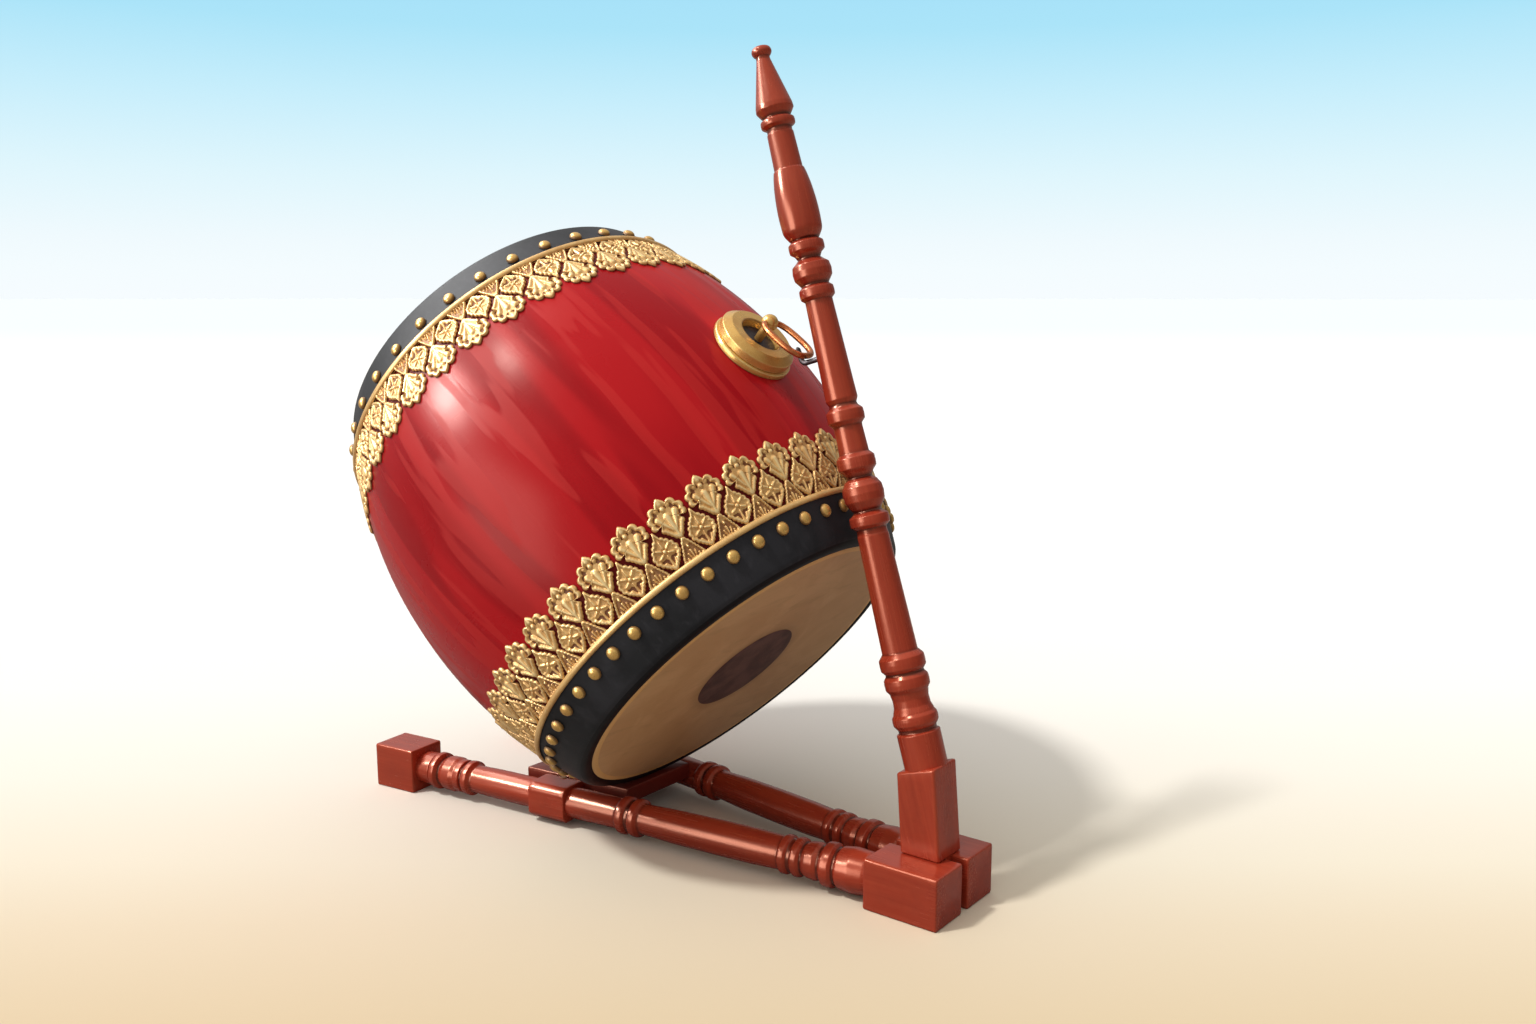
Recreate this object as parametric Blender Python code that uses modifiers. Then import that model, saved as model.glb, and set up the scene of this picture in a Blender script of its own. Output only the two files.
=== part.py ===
"""Khmer barrel drum leaning in its turned floor stand.

The drum is a hollowed barrel with a nailed hide on each end, gilt leaf rows, and one brass ring
on a ball-headed bolt at its belly. The stand is two turned rails that spread from a pair of
blocks, a board across them that carries the drum's lower edge, and a leaning turned post whose
hook holds the ring. +X points to the post's end of the stand, +Z is up, and the drum and the
post lie in the plane Y = 0. Sizes are in metres.
"""
import math

import bmesh
import bpy
from mathutils import Matrix, Vector

# Fit between neighbouring pieces
GAP = 0.0003

# Barrel
BARREL_LENGTH = 0.520
BARREL_END_RADIUS = 0.2235
BARREL_BELLY_RADIUS = 0.2862
BARREL_CURVE = 2.11
SHELL_WALL = 0.022
BARREL_TILT = math.radians(48.0)
BARREL_STEPS = 36

# Hides and their trim
HIDE_THICKNESS = 0.003
HIDE_LIP_RADIUS = 0.0125
HIDE_LIP_END = math.radians(25)
SKIRT_THICKNESS = 0.0015
SKIRT_DEPTH = 0.0565
FACE_RADIUS = 0.2125
PATCH_RADIUS = 0.068
PATCH_THICKNESS = 0.0012
STUD_RADIUS = 0.0062
STUD_HEIGHT = 0.0045
STUD_INSET = 0.0376
STUD_STRIP_WIDTH = 0.0030
STUD_STRIP_THICKNESS = 0.0018
BOTTOM_STUD_COUNT = 48
TOP_STUD_COUNT = 36
HOOP_INSET = 0.0500
HOOP_WIDTH = 0.0055
HOOP_HEIGHT = 0.0035

# Gilt leaf rows
LEAF_COUNT = 36
LEAF_SEAT = 0.0004
LEAF_RIDGE = 0.0034
LEAF_EDGE = 0.0018
ROOT_LEAF_INSET = 0.0575
ROOT_LEAF_LENGTH = 0.0195
DIAMOND_LEAF_INSET = 0.0615
DIAMOND_LEAF_LENGTH = 0.0380
FAN_LEAF_INSET = 0.0850
FAN_LEAF_LENGTH = 0.0400

# Boss, bolt and ring
BOSS_SHARE = 0.4654
BOSS_INSET = BOSS_SHARE * BARREL_LENGTH
FLANGE_RADIUS = 0.050
FLANGE_TOP = 0.004
FLANGE_SKIRT = 0.012
BOSS_RADIUS = 0.0465
BOSS_SIDE_TOP = 0.0145
BOSS_TOP = 0.0200
BOSS_TOP_RADIUS = 0.0405
RECESS_RADIUS = 0.0265
RECESS_FLOOR_RADIUS = 0.0225
RECESS_FLOOR = 0.0100
INLAY_THICKNESS = 0.0020
BOLT_RADIUS = 0.0050
BALL_RADIUS = 0.0096
BALL_HEIGHT = 0.0370
BALL_BORE_RADIUS = 0.0054
BOLT_STEPS = 16
WASHER_RADIUS = 0.0150
WASHER_THICKNESS = 0.0020
SPOT_FACE_DEPTH = 0.0010
NUT_WIDTH = 0.0180
NUT_HEIGHT = 0.0080
BOLT_TAIL = 0.0040
RING_LENGTH = 0.0620
RING_HALF_WIDTH = 0.0200
RING_SQUARENESS = 2.7
RING_WIRE_RADIUS = 0.0035
RING_DROP = math.radians(35.0)
RING_SHIFT = 0.0008
RING_STEPS = 28

# Blocks at the post's end
BLOCK_LENGTH = 0.0909
BLOCK_WIDTH = 0.0544
BLOCK_HEIGHT = 0.0575
BLOCK_SPACING = 0.0124
EDGE_BEVEL = 0.0018
DOWEL_RADIUS = 0.0050
DOWEL_LENGTH = 0.0620
DOWEL_HEIGHT = 0.0330
DOWEL_SPREAD = 0.0160
DOWEL_SIDES = 12

# Rails
RAIL_SPREAD = math.radians(7.3)
RAIL_LENGTH = 0.6634
RAIL_END_LENGTH = 0.0659
RAIL_STEPS = 12
TENON_RADIUS = 0.0130
TENON_LENGTH = 0.0240
HOUSING_RADIUS = 0.0222
COLLAR_START = 0.4150
COLLAR_END = 0.4704
COLLAR_SIDE = 0.0440
COLLAR_BEVEL = 0.0060

# Cross board
BOARD_TOP = 0.0520
BOARD_THICKNESS = 0.0200
BOARD_START = 0.3480
BOARD_END = 0.5050
BOARD_END_OFFSET = 0.0200
LUG_DEPTH = 0.0140
PEG_RADIUS = 0.0040
PEG_LENGTH = 0.0320
PEG_INSET = 0.0065

# Post
POST_LEAN = math.radians(16.4)
POST_FOOT_X = 0.0430
POST_AXIS_X = 0.0225
POST_SHOULDER = 0.0997
POST_STEPS = 12
POST_LENGTH = 0.8949
POST_GIRTH = 0.0250
POST_ROOT_RADIUS = 0.0190
POST_ROOT_LENGTH = 0.0200
FOOT_SIDE = 0.0480
TONGUE_LENGTH = 0.0440
TONGUE_DEPTH = 0.0450

# Hook and the drum's place beside the post
POST_CLEARANCE = 0.0265
HOOK_REACH = 0.0290
LIFT_LEAN = math.radians(24.0)
HOOK_WIRE_RADIUS = 0.0030
HOOK_PLAY = 0.0010
HOOK_RISE = 0.0120
HOOK_SHANK = 0.0120
HOOK_BEND = 0.0060

# Colours as linear red, green, blue, with roughness and metallic
LACQUER_RED = ((0.38, 0.012, 0.014, 1), 0.25, 0.0)
STAIN_RED = ((0.30, 0.045, 0.022, 1), 0.35, 0.0)
STAIN_DARK = ((0.17, 0.024, 0.016, 1), 0.40, 0.0)
RAW_WOOD = ((0.42, 0.25, 0.12, 1), 0.60, 0.0)
HIDE_TAN = ((0.30, 0.18, 0.07, 1), 0.55, 0.0)
HIDE_BLACK = ((0.028, 0.026, 0.030, 1), 0.40, 0.0)
PATCH_BROWN = ((0.045, 0.022, 0.018, 1), 0.70, 0.0)
GILT = ((0.60, 0.37, 0.13, 1), 0.35, 0.9)
BRASS = ((0.62, 0.40, 0.14, 1), 0.25, 1.0)
COPPER = ((0.55, 0.17, 0.07, 1), 0.28, 1.0)
IRON = ((0.06, 0.055, 0.055, 1), 0.45, 0.9)

# Scene set-up
for leftover in list(bpy.data.objects):
    bpy.data.objects.remove(leftover)


def new_collection(name):
    """Make a collection under the scene."""
    collection = bpy.data.collections.new(name)
    bpy.context.scene.collection.children.link(collection)
    return collection


PARTS = new_collection("khmer_barrel_drum")
CUTTERS = new_collection("cutters")


def finish_material(name, look):
    """A Principled material from a colour, a roughness and a metallic value."""
    colour, roughness, metallic = look
    material = bpy.data.materials.new(name)
    material.use_nodes = True
    shader = material.node_tree.nodes["Principled BSDF"]
    shader.inputs["Base Color"].default_value = colour
    shader.inputs["Roughness"].default_value = roughness
    shader.inputs["Metallic"].default_value = metallic
    material.diffuse_color = colour
    return material


def add_object(name, data, parent=None, look=None):
    """Put mesh or curve data in the parts collection under a name of its own."""
    thing = bpy.data.objects.new(name, data)
    PARTS.objects.link(thing)
    if parent is not None:
        thing.parent = parent
    if look is not None:
        thing.data.materials.append(finish_material(name, look))
    return thing


def add_empty(name, matrix, parent=None):
    """An empty that carries a group of pieces."""
    empty = bpy.data.objects.new(name, None)
    empty.empty_display_size = 0.05
    PARTS.objects.link(empty)
    if parent is not None:
        empty.parent = parent
        empty.matrix_parent_inverse = Matrix.Identity(4)
    empty.matrix_local = matrix
    return empty


def add_cutter(name, data, parent=None):
    """A guide solid that cuts or joins another piece and isn't a piece itself."""
    cutter = bpy.data.objects.new(name, data)
    CUTTERS.objects.link(cutter)
    cutter.hide_render = True
    cutter.display_type = "WIRE"
    if parent is not None:
        cutter.parent = parent
    return cutter


def boolean(thing, other, operation):
    """Add a Boolean that keeps the exact solver."""
    modifier = thing.modifiers.new(operation.lower(), "BOOLEAN")
    modifier.operation = operation
    modifier.solver = "EXACT"
    modifier.object = other


def bevel(thing, width, segments=1):
    """Round or chamfer the hard edges."""
    modifier = thing.modifiers.new("edges", "BEVEL")
    modifier.width = width
    modifier.segments = segments
    modifier.limit_method = "ANGLE"
    modifier.angle_limit = math.radians(40)


def smooth(mesh):
    """Shade round faces smooth and keep real edges sharp."""
    mesh.shade_smooth()
    mesh.set_sharp_from_angle(angle=math.radians(35))


def box_mesh(name, low, high):
    """A box between two corners."""
    low, high = Vector(low), Vector(high)
    mesh = bpy.data.meshes.new(name)
    shape = bmesh.new()
    bmesh.ops.create_cube(shape, size=1.0)
    size = high - low
    bmesh.ops.scale(shape, vec=size, verts=shape.verts)
    bmesh.ops.translate(shape, vec=low + size / 2, verts=shape.verts)
    shape.to_mesh(mesh)
    shape.free()
    return mesh


def rod_mesh(name, radius, low, high, sides, axis="Z", centre=(0.0, 0.0)):
    """A straight rod from low to high along one axis, with its middle at centre."""
    mesh = bpy.data.meshes.new(name)
    shape = bmesh.new()
    bmesh.ops.create_cone(
        shape, cap_ends=True, segments=sides, radius1=radius, radius2=radius, depth=high - low)
    bmesh.ops.translate(shape, vec=(0, 0, (low + high) / 2), verts=shape.verts)
    turn = {"Z": Matrix.Identity(3), "X": Matrix.Rotation(math.pi / 2, 3, "Y"),
            "Y": Matrix.Rotation(-math.pi / 2, 3, "X")}[axis]
    bmesh.ops.transform(shape, matrix=turn.to_4x4(), verts=shape.verts)
    first, second = centre
    offset = {"Z": (first, second, 0), "X": (0, first, second), "Y": (first, 0, second)}[axis]
    bmesh.ops.translate(shape, vec=offset, verts=shape.verts)
    shape.to_mesh(mesh)
    shape.free()
    smooth(mesh)
    return mesh


def profile_mesh(name, points, closed=False):
    """A chain of (height, radius) points at +X, which runs down the outer side."""
    mesh = bpy.data.meshes.new(name)
    corners = [(radius, 0.0, height) for height, radius in points]
    edges = [(index, index + 1) for index in range(len(corners) - 1)]
    if closed:
        edges.append((len(corners) - 1, 0))
    mesh.from_pydata(corners, edges, [])
    return mesh


def turn_profile(thing, steps):
    """Turn the profile about the local Z axis."""
    modifier = thing.modifiers.new("turned", "SCREW")
    modifier.axis = "Z"
    modifier.angle = math.tau
    modifier.steps = steps
    modifier.render_steps = steps
    modifier.use_merge_vertices = True
    modifier.merge_threshold = 0.00001
    modifier.use_smooth_shade = True


def turned(name, points, steps, parent=None, look=None, closed=False):
    """A turned piece from its profile."""
    thing = add_object(name, profile_mesh(name, points, closed), parent, look)
    turn_profile(thing, steps)
    return thing


def turned_cutter(name, points, steps, parent=None):
    """A turned guide solid."""
    cutter = add_cutter(name, profile_mesh(name, points), parent)
    turn_profile(cutter, steps)
    return cutter


def settled_mesh(thing, name):
    """The evaluated mesh of an object, with its loose doubles welded."""
    bpy.context.view_layer.update()
    evaluated = thing.evaluated_get(bpy.context.evaluated_depsgraph_get())
    mesh = bpy.data.meshes.new_from_object(evaluated)
    mesh.name = name
    shape = bmesh.new()
    shape.from_mesh(mesh)
    bmesh.ops.remove_doubles(shape, verts=shape.verts, dist=0.00001)
    bmesh.ops.recalc_face_normals(shape, faces=shape.faces)
    shape.to_mesh(mesh)
    shape.free()
    return mesh


def copies_mesh(name, single, places):
    """One mesh that holds a separate copy of a small mesh at each place."""
    mesh = bpy.data.meshes.new(name)
    shape = bmesh.new()
    for place in places:
        copy = single.copy()
        copy.transform(place)
        shape.from_mesh(copy)
        bpy.data.meshes.remove(copy)
    shape.to_mesh(mesh)
    shape.free()
    return mesh


def joined_row(name, end, single, places, strip, look):
    """A row of copies round the barrel, joined by the strip that carries them."""
    row = turned(name, strip, BARREL_STEPS, DRUM, look, closed=True)
    row.matrix_local = end
    copies = add_cutter(name + "_copies", copies_mesh(name + "_copies", single, places), DRUM)
    copies.matrix_local = end
    boolean(row, copies, "UNION")
    bpy.data.meshes.remove(single)


def flat_plate(name, outline, thickness):
    """A flat plate from an outline: a filled 2D curve with half its thickness each way."""
    curve = bpy.data.curves.new(name, "CURVE")
    curve.dimensions = "2D"
    curve.fill_mode = "BOTH"
    curve.extrude = thickness / 2
    spline = curve.splines.new("POLY")
    spline.points.add(len(outline) - 1)
    for point, (across, along) in zip(spline.points, outline):
        point.co = (across, along, 0.0, 1.0)
    spline.use_cyclic_u = True
    guide = bpy.data.objects.new(name, curve)
    CUTTERS.objects.link(guide)
    mesh = settled_mesh(guide, name)
    bpy.data.objects.remove(guide)
    return mesh


# Turning vocabulary: each returns (height, radius) points from top to bottom

def bead(low, high, root, crest):
    """A ring with chamfered shoulders."""
    shoulder = (high - low) * 0.25
    return [(high, root), (high - shoulder, crest), (low + shoulder, crest), (low, root)]


def swell(low, high, radius_low, radius_high, crest, steps=4):
    """A bellied stretch: a straight taper plus one half wave of the crest's height."""
    points = []
    for step in range(steps + 1):
        share = step / steps
        taper = radius_high + (radius_low - radius_high) * share
        wave = (crest - (radius_low + radius_high) / 2) * math.sin(math.pi * share)
        points.append((high + (low - high) * share, taper + wave))
    return points


# Barrel geometry

def barrel_radius(inset):
    """Outer radius of the shell at a distance from the bottom head's face."""
    offset = abs(1 - 2 * inset / BARREL_LENGTH)
    return BARREL_BELLY_RADIUS - (BARREL_BELLY_RADIUS - BARREL_END_RADIUS) * offset ** BARREL_CURVE


def skirt_radius(inset):
    """Outer radius of the hide's skirt."""
    return barrel_radius(inset) + GAP + HIDE_THICKNESS


def barrel_slope(inset):
    """Angle of the barrel's side to its axis, from two near points."""
    step = 0.0005
    rise = barrel_radius(inset + step) - barrel_radius(inset - step)
    return math.atan2(rise, 2 * step)


def lip_arc(offset, steps=2):
    """(inset, radius) points round the end's lip, inside the hide's outer face by offset."""
    end_inset = HIDE_LIP_RADIUS * (1 - math.sin(HIDE_LIP_END))
    centre = skirt_radius(end_inset) - HIDE_LIP_RADIUS * math.cos(HIDE_LIP_END)
    reach = HIDE_LIP_RADIUS - offset
    points = []
    for step in range(steps + 1):
        angle = math.pi / 2 + (HIDE_LIP_END - math.pi / 2) * step / steps
        points.append((HIDE_LIP_RADIUS - reach * math.sin(angle), centre + reach * math.cos(angle)))
    return points


SKIRT_ROWS = [STUD_INSET, SKIRT_DEPTH]
BELLY_ROWS = [0.100, 0.150, 0.200]
HIDE_OUTER = lip_arc(0.0) + [(inset, skirt_radius(inset)) for inset in SKIRT_ROWS]

# The drum leans until its lower edge stands on the board, and it stands behind the post by what
# its upper edge or the ring's far end needs, whichever is more
SINE = math.sin(BARREL_TILT)
COSINE = math.cos(BARREL_TILT)
LOWEST = max(radius * SINE - inset * COSINE for inset, radius in HIDE_OUTER)
HEAD_HEIGHT = BOARD_TOP + GAP + LOWEST
POST_SIDE = [
    (radius * COSINE - inset * SINE) * math.cos(POST_LEAN)
    + (HEAD_HEIGHT - BLOCK_HEIGHT + radius * SINE + inset * COSINE) * math.sin(POST_LEAN)
    for inset, radius in HIDE_OUTER]
RING_REACH = barrel_radius(BOSS_INSET) + BALL_HEIGHT
RING_SIDE = (
    (RING_REACH * COSINE - BOSS_INSET * SINE) * math.cos(POST_LEAN)
    + (HEAD_HEIGHT - BLOCK_HEIGHT + RING_REACH * SINE + BOSS_INSET * COSINE) * math.sin(POST_LEAN)
    + (RING_LENGTH - RING_SHIFT) * math.cos(POST_LEAN + RING_DROP))
DRUM_SIDE = max(max(POST_SIDE) + POST_CLEARANCE, RING_SIDE + HOOK_REACH)
HEAD_BEHIND_FACE = POST_AXIS_X + DRUM_SIDE / math.cos(POST_LEAN)

# The origin is half way along the whole object, from the upper head's edge to the blocks' face
FAR_REACH = max(radius * COSINE - inset * SINE for inset, radius in HIDE_OUTER)
OVERALL_LENGTH = HEAD_BEHIND_FACE + BARREL_LENGTH * SINE + FAR_REACH
FACE_X = OVERALL_LENGTH / 2

DRUM_PLACE = (
    Matrix.Translation((FACE_X - HEAD_BEHIND_FACE, 0, HEAD_HEIGHT))
    @ Matrix.Rotation(-BARREL_TILT, 4, "Y"))
DRUM = add_empty("drum_axis", DRUM_PLACE)
TOP_END = Matrix.Translation((0, 0, BARREL_LENGTH)) @ Matrix.Rotation(math.pi, 4, "X")


def make_shell():
    """The hollowed barrel, open at both ends, with the bolt's hole at its belly."""
    lip = lip_arc(GAP + HIDE_THICKNESS)
    rows = SKIRT_ROWS + BELLY_ROWS
    lower = lip + [(inset, barrel_radius(inset)) for inset in rows]
    upper = [(BARREL_LENGTH - inset, radius) for inset, radius in lower]
    middle = [(BARREL_LENGTH / 2, BARREL_BELLY_RADIUS)]
    end = GAP + HIDE_THICKNESS
    bore_rows = [end, 0.080, 0.160, BARREL_LENGTH / 2]
    bore_low = [(inset, barrel_radius(inset) - SHELL_WALL) for inset in bore_rows]
    bore_high = [(BARREL_LENGTH - inset, radius) for inset, radius in bore_low[-2::-1]]
    points = upper + middle + lower[::-1] + bore_low + bore_high
    shell = turned("drum_shell", points, BARREL_STEPS, DRUM, LACQUER_RED, closed=True)
    hole = rod_mesh(
        "bolt_hole", BOLT_RADIUS + GAP, BARREL_BELLY_RADIUS - 2 * SHELL_WALL,
        BARREL_BELLY_RADIUS + SHELL_WALL, BOLT_STEPS, "X", (0.0, BOSS_INSET))
    boolean(shell, add_cutter("bolt_hole", hole, DRUM), "DIFFERENCE")
    spot = rod_mesh(
        "spot_face", WASHER_RADIUS + 0.002, BARREL_BELLY_RADIUS - 2 * SHELL_WALL,
        inner_seat(), 20, "X", (0.0, BOSS_INSET))
    boolean(shell, add_cutter("spot_face", spot, DRUM), "DIFFERENCE")


def inner_seat():
    """Distance from the barrel's axis to the flat that the bolt's washer bears on."""
    return barrel_radius(BOSS_INSET) - SHELL_WALL + SPOT_FACE_DEPTH


def layer(offset):
    """(inset, radius) points of the lip and skirt, inside the outer face by offset."""
    return lip_arc(offset) + [(inset, skirt_radius(inset) - offset) for inset in SKIRT_ROWS]


def make_hide(name, end):
    """The hide: its flat playing face, and the edge drawn down over the barrel."""
    under_skirt = layer(SKIRT_THICKNESS + GAP)
    face = [(SKIRT_THICKNESS + GAP, FACE_RADIUS - GAP), (0.0, FACE_RADIUS - GAP), (0.0, 0.0)]
    points = [(HIDE_THICKNESS, 0.0)] + layer(HIDE_THICKNESS) + under_skirt[::-1] + face
    hide = turned(name, points, BARREL_STEPS, DRUM, HIDE_TAN)
    hide.matrix_local = end


def make_skirt(name, end):
    """The black skirt: a strip from the playing face over the lip and down to the hoop."""
    inner = [(SKIRT_THICKNESS, FACE_RADIUS)] + layer(SKIRT_THICKNESS)
    points = inner + layer(0.0)[::-1] + [(0.0, FACE_RADIUS)]
    skirt = turned(name, points, BARREL_STEPS, DRUM, HIDE_BLACK, closed=True)
    skirt.matrix_local = end


def make_patch(name, end):
    """The dark tuning patch on the middle of a head."""
    points = [(-GAP, 0.0), (-GAP, PATCH_RADIUS),
              (-GAP - PATCH_THICKNESS * 0.6, PATCH_RADIUS - 0.001),
              (-GAP - PATCH_THICKNESS, PATCH_RADIUS - 0.006), (-GAP - PATCH_THICKNESS, 0.0)]
    patch = turned(name, points, 24, DRUM, PATCH_BROWN)
    patch.matrix_local = end


def make_hoop(name, end):
    """The gilt hoop over the skirt's edge."""
    low, high = HOOP_INSET, HOOP_INSET + HOOP_WIDTH
    middle = (low + high) / 2
    points = [(high, skirt_radius(high) + GAP),
              (high, skirt_radius(high) + HOOP_HEIGHT * 0.5),
              (middle, skirt_radius(middle) + HOOP_HEIGHT),
              (low, skirt_radius(low) + HOOP_HEIGHT * 0.5),
              (low, skirt_radius(low) + GAP)]
    hoop = turned(name, points, BARREL_STEPS, DRUM, GILT, closed=True)
    hoop.matrix_local = end


def strip_profile(low, high, radius_at, thickness):
    """A thin strip round the barrel between two insets."""
    return [(high, radius_at(high) + GAP), (high, radius_at(high) + GAP + thickness),
            (low, radius_at(low) + GAP + thickness), (low, radius_at(low) + GAP)]


def seat_on_barrel(angle, inset, radius):
    """Place a piece on the barrel: its local Z points outwards and its Y away from the head."""
    slope = barrel_slope(inset)
    outward = Vector((math.cos(slope), 0, -math.sin(slope)))
    away = Vector((math.sin(slope), 0, math.cos(slope)))
    across = away.cross(outward)
    frame = Matrix((across, away, outward)).transposed().to_4x4()
    return (Matrix.Rotation(angle, 4, "Z") @ Matrix.Translation((radius, 0, inset)) @ frame)


def make_studs(name, end, count, shift):
    """A row of domed studs through the skirt, joined by their strip."""
    crown = (STUD_HEIGHT, STUD_RADIUS * 0.5)
    dome = [(STUD_HEIGHT, 0.0), crown, (0.0, STUD_RADIUS), (0.0, 0.0)]
    sample = turned("stud_sample", dome, 6)
    single = settled_mesh(sample, "stud_sample")
    bpy.data.objects.remove(sample)
    radius = skirt_radius(STUD_INSET) + 2 * GAP
    places = [seat_on_barrel(math.tau * (index + shift) / count, STUD_INSET, radius)
              for index in range(count)]
    strip = strip_profile(STUD_INSET - STUD_STRIP_WIDTH / 2, STUD_INSET + STUD_STRIP_WIDTH / 2,
                          skirt_radius, STUD_STRIP_THICKNESS)
    joined_row(name, end, single, places, strip, BRASS)


# Half outlines of the leaves: shares of the half pitch across, and of the length along
ROOT_LEAF = [(0.0, 0.0), (1.0, 0.0), (1.0, 0.15), (0.0, 1.0)]
DIAMOND_LEAF = [(0.0, 0.0), (1.0, 0.46), (1.0, 0.56), (0.0, 1.0)]
FAN_LEAF = [(0.0, 0.0), (1.0, 0.46), (1.0, 0.57), (0.42, 0.86), (0.0, 1.0)]


def make_leaf_row(name, end, outline, inset, length, shift):
    """A row of ridged gilt leaves bent round the barrel, each joined to the next at its sides."""
    half = flat_plate(name + "_half", outline, 1.0)
    shape = bmesh.new()
    shape.from_mesh(half)
    sides = [face for face in shape.faces
             if all(vert.co.x < 0.001 for vert in face.verts)
             or all(vert.co.x > 0.999 for vert in face.verts)]
    bmesh.ops.delete(shape, geom=sides, context="FACES_ONLY")
    shape.to_mesh(half)
    shape.clear()
    pitch = math.tau / LEAF_COUNT
    for index in range(LEAF_COUNT):
        for hand in (-1, 1):
            first = len(shape.verts)
            shape.from_mesh(half)
            shape.verts.ensure_lookup_table()
            for vert in shape.verts[first:]:
                across, along, level = vert.co
                angle = pitch * (index + shift + hand * across / 2)
                spot = inset + length * along
                ridge = LEAF_RIDGE + (LEAF_EDGE - LEAF_RIDGE) * across
                radius = barrel_radius(spot) + LEAF_SEAT + (ridge if level > 0 else 0.0)
                vert.co = (radius * math.cos(angle), radius * math.sin(angle), spot)
    bmesh.ops.remove_doubles(shape, verts=shape.verts, dist=0.00001)
    bmesh.ops.recalc_face_normals(shape, faces=shape.faces)
    mesh = bpy.data.meshes.new(name)
    shape.to_mesh(mesh)
    shape.free()
    smooth(mesh)
    bpy.data.meshes.remove(half)
    add_object(name, mesh, DRUM, GILT).matrix_local = end


# Boss, bolt and ring, on an axis square to the barrel at its belly

BOSS_PLACE = (
    Matrix.Translation((barrel_radius(BOSS_INSET), 0, BOSS_INSET))
    @ Matrix.Rotation(math.pi / 2, 4, "Y"))
BOSS = add_empty("boss_axis", BOSS_PLACE, DRUM)


def make_boss():
    """The stepped brass boss: a flange fitted to the barrel, a bevelled ring and an inlay."""
    hole = BOLT_RADIUS + GAP
    flange_points = [(FLANGE_TOP, hole), (FLANGE_TOP, FLANGE_RADIUS - 0.0010),
                     (FLANGE_TOP - 0.0012, FLANGE_RADIUS), (-FLANGE_SKIRT, FLANGE_RADIUS),
                     (-FLANGE_SKIRT, hole)]
    flange = turned("boss_flange", flange_points, 28, BOSS, BRASS, closed=True)
    far_rows = [BARREL_LENGTH - inset for inset in reversed(BELLY_ROWS)]
    rows = BELLY_ROWS + [BARREL_LENGTH / 2] + far_rows
    side = [(inset, barrel_radius(inset) + GAP) for inset in reversed(rows)]
    barrel = turned_cutter("barrel_form", [(rows[-1], 0.0)] + side + [(rows[0], 0.0)],
                           BARREL_STEPS, DRUM)
    boolean(flange, barrel, "DIFFERENCE")
    base = FLANGE_TOP + GAP
    ring_points = [
        (RECESS_FLOOR, hole), (RECESS_FLOOR, RECESS_FLOOR_RADIUS),
        (BOSS_TOP - 0.0020, RECESS_RADIUS - 0.0010), (BOSS_TOP, RECESS_RADIUS),
        (BOSS_TOP, BOSS_TOP_RADIUS), (BOSS_SIDE_TOP, BOSS_RADIUS), (base, BOSS_RADIUS),
        (base, hole)]
    turned("boss_ring", ring_points, 28, BOSS, BRASS, closed=True)
    low = RECESS_FLOOR + GAP
    edge = RECESS_FLOOR_RADIUS - 2 * GAP
    inlay_points = [(low + INLAY_THICKNESS, hole), (low + INLAY_THICKNESS, edge), (low, edge),
                    (low, hole)]
    turned("boss_inlay", inlay_points, 24, BOSS, IRON, closed=True)


def make_bolt():
    """The ball-headed bolt, its nut and its washer inside the barrel."""
    seat = inner_seat() - barrel_radius(BOSS_INSET)
    washer_low = seat - GAP - WASHER_THICKNESS
    nut_low = washer_low - GAP - NUT_HEIGHT
    neck = math.sqrt(BALL_RADIUS ** 2 - BOLT_RADIUS ** 2)
    points = [(BALL_HEIGHT + BALL_RADIUS, 0.0)]
    last = math.pi - math.asin(BOLT_RADIUS / BALL_RADIUS)
    for step in range(1, 8):
        angle = last * step / 8
        points.append((BALL_HEIGHT + BALL_RADIUS * math.cos(angle), BALL_RADIUS * math.sin(angle)))
    points += [(BALL_HEIGHT - neck, BOLT_RADIUS), (nut_low - BOLT_TAIL, BOLT_RADIUS),
               (nut_low - BOLT_TAIL, 0.0)]
    bolt = turned("ring_bolt", points, BOLT_STEPS, BOSS, BRASS)
    reach = 2 * BALL_RADIUS
    bore = rod_mesh("ball_bore", BALL_BORE_RADIUS, -reach, reach, 16, "Y", (0.0, BALL_HEIGHT))
    boolean(bolt, add_cutter("ball_bore", bore, BOSS), "DIFFERENCE")
    hole = BOLT_RADIUS + GAP
    washer = [(washer_low + WASHER_THICKNESS, hole), (washer_low + WASHER_THICKNESS, WASHER_RADIUS),
              (washer_low, WASHER_RADIUS), (washer_low, hole)]
    turned("bolt_washer", washer, 20, BOSS, IRON, closed=True)
    across = NUT_WIDTH / math.sqrt(3)
    nut = add_object(
        "bolt_nut", rod_mesh("bolt_nut", across, nut_low, nut_low + NUT_HEIGHT, 6), BOSS, IRON)
    thread = rod_mesh("nut_bore", hole, nut_low - 0.01, nut_low + 0.02, BOLT_STEPS)
    boolean(nut, add_cutter("nut_bore", thread, BOSS), "DIFFERENCE")


def oval(angle):
    """A point on the ring's rounded oval: (along, across), from the ball's end at angle 0."""
    power = 2 / RING_SQUARENESS
    half = RING_LENGTH / 2
    cosine, sine = math.cos(angle), math.sin(angle)
    along = half - half * math.copysign(abs(cosine) ** power, cosine)
    return along, RING_HALF_WIDTH * math.copysign(abs(sine) ** power, sine)


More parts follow.
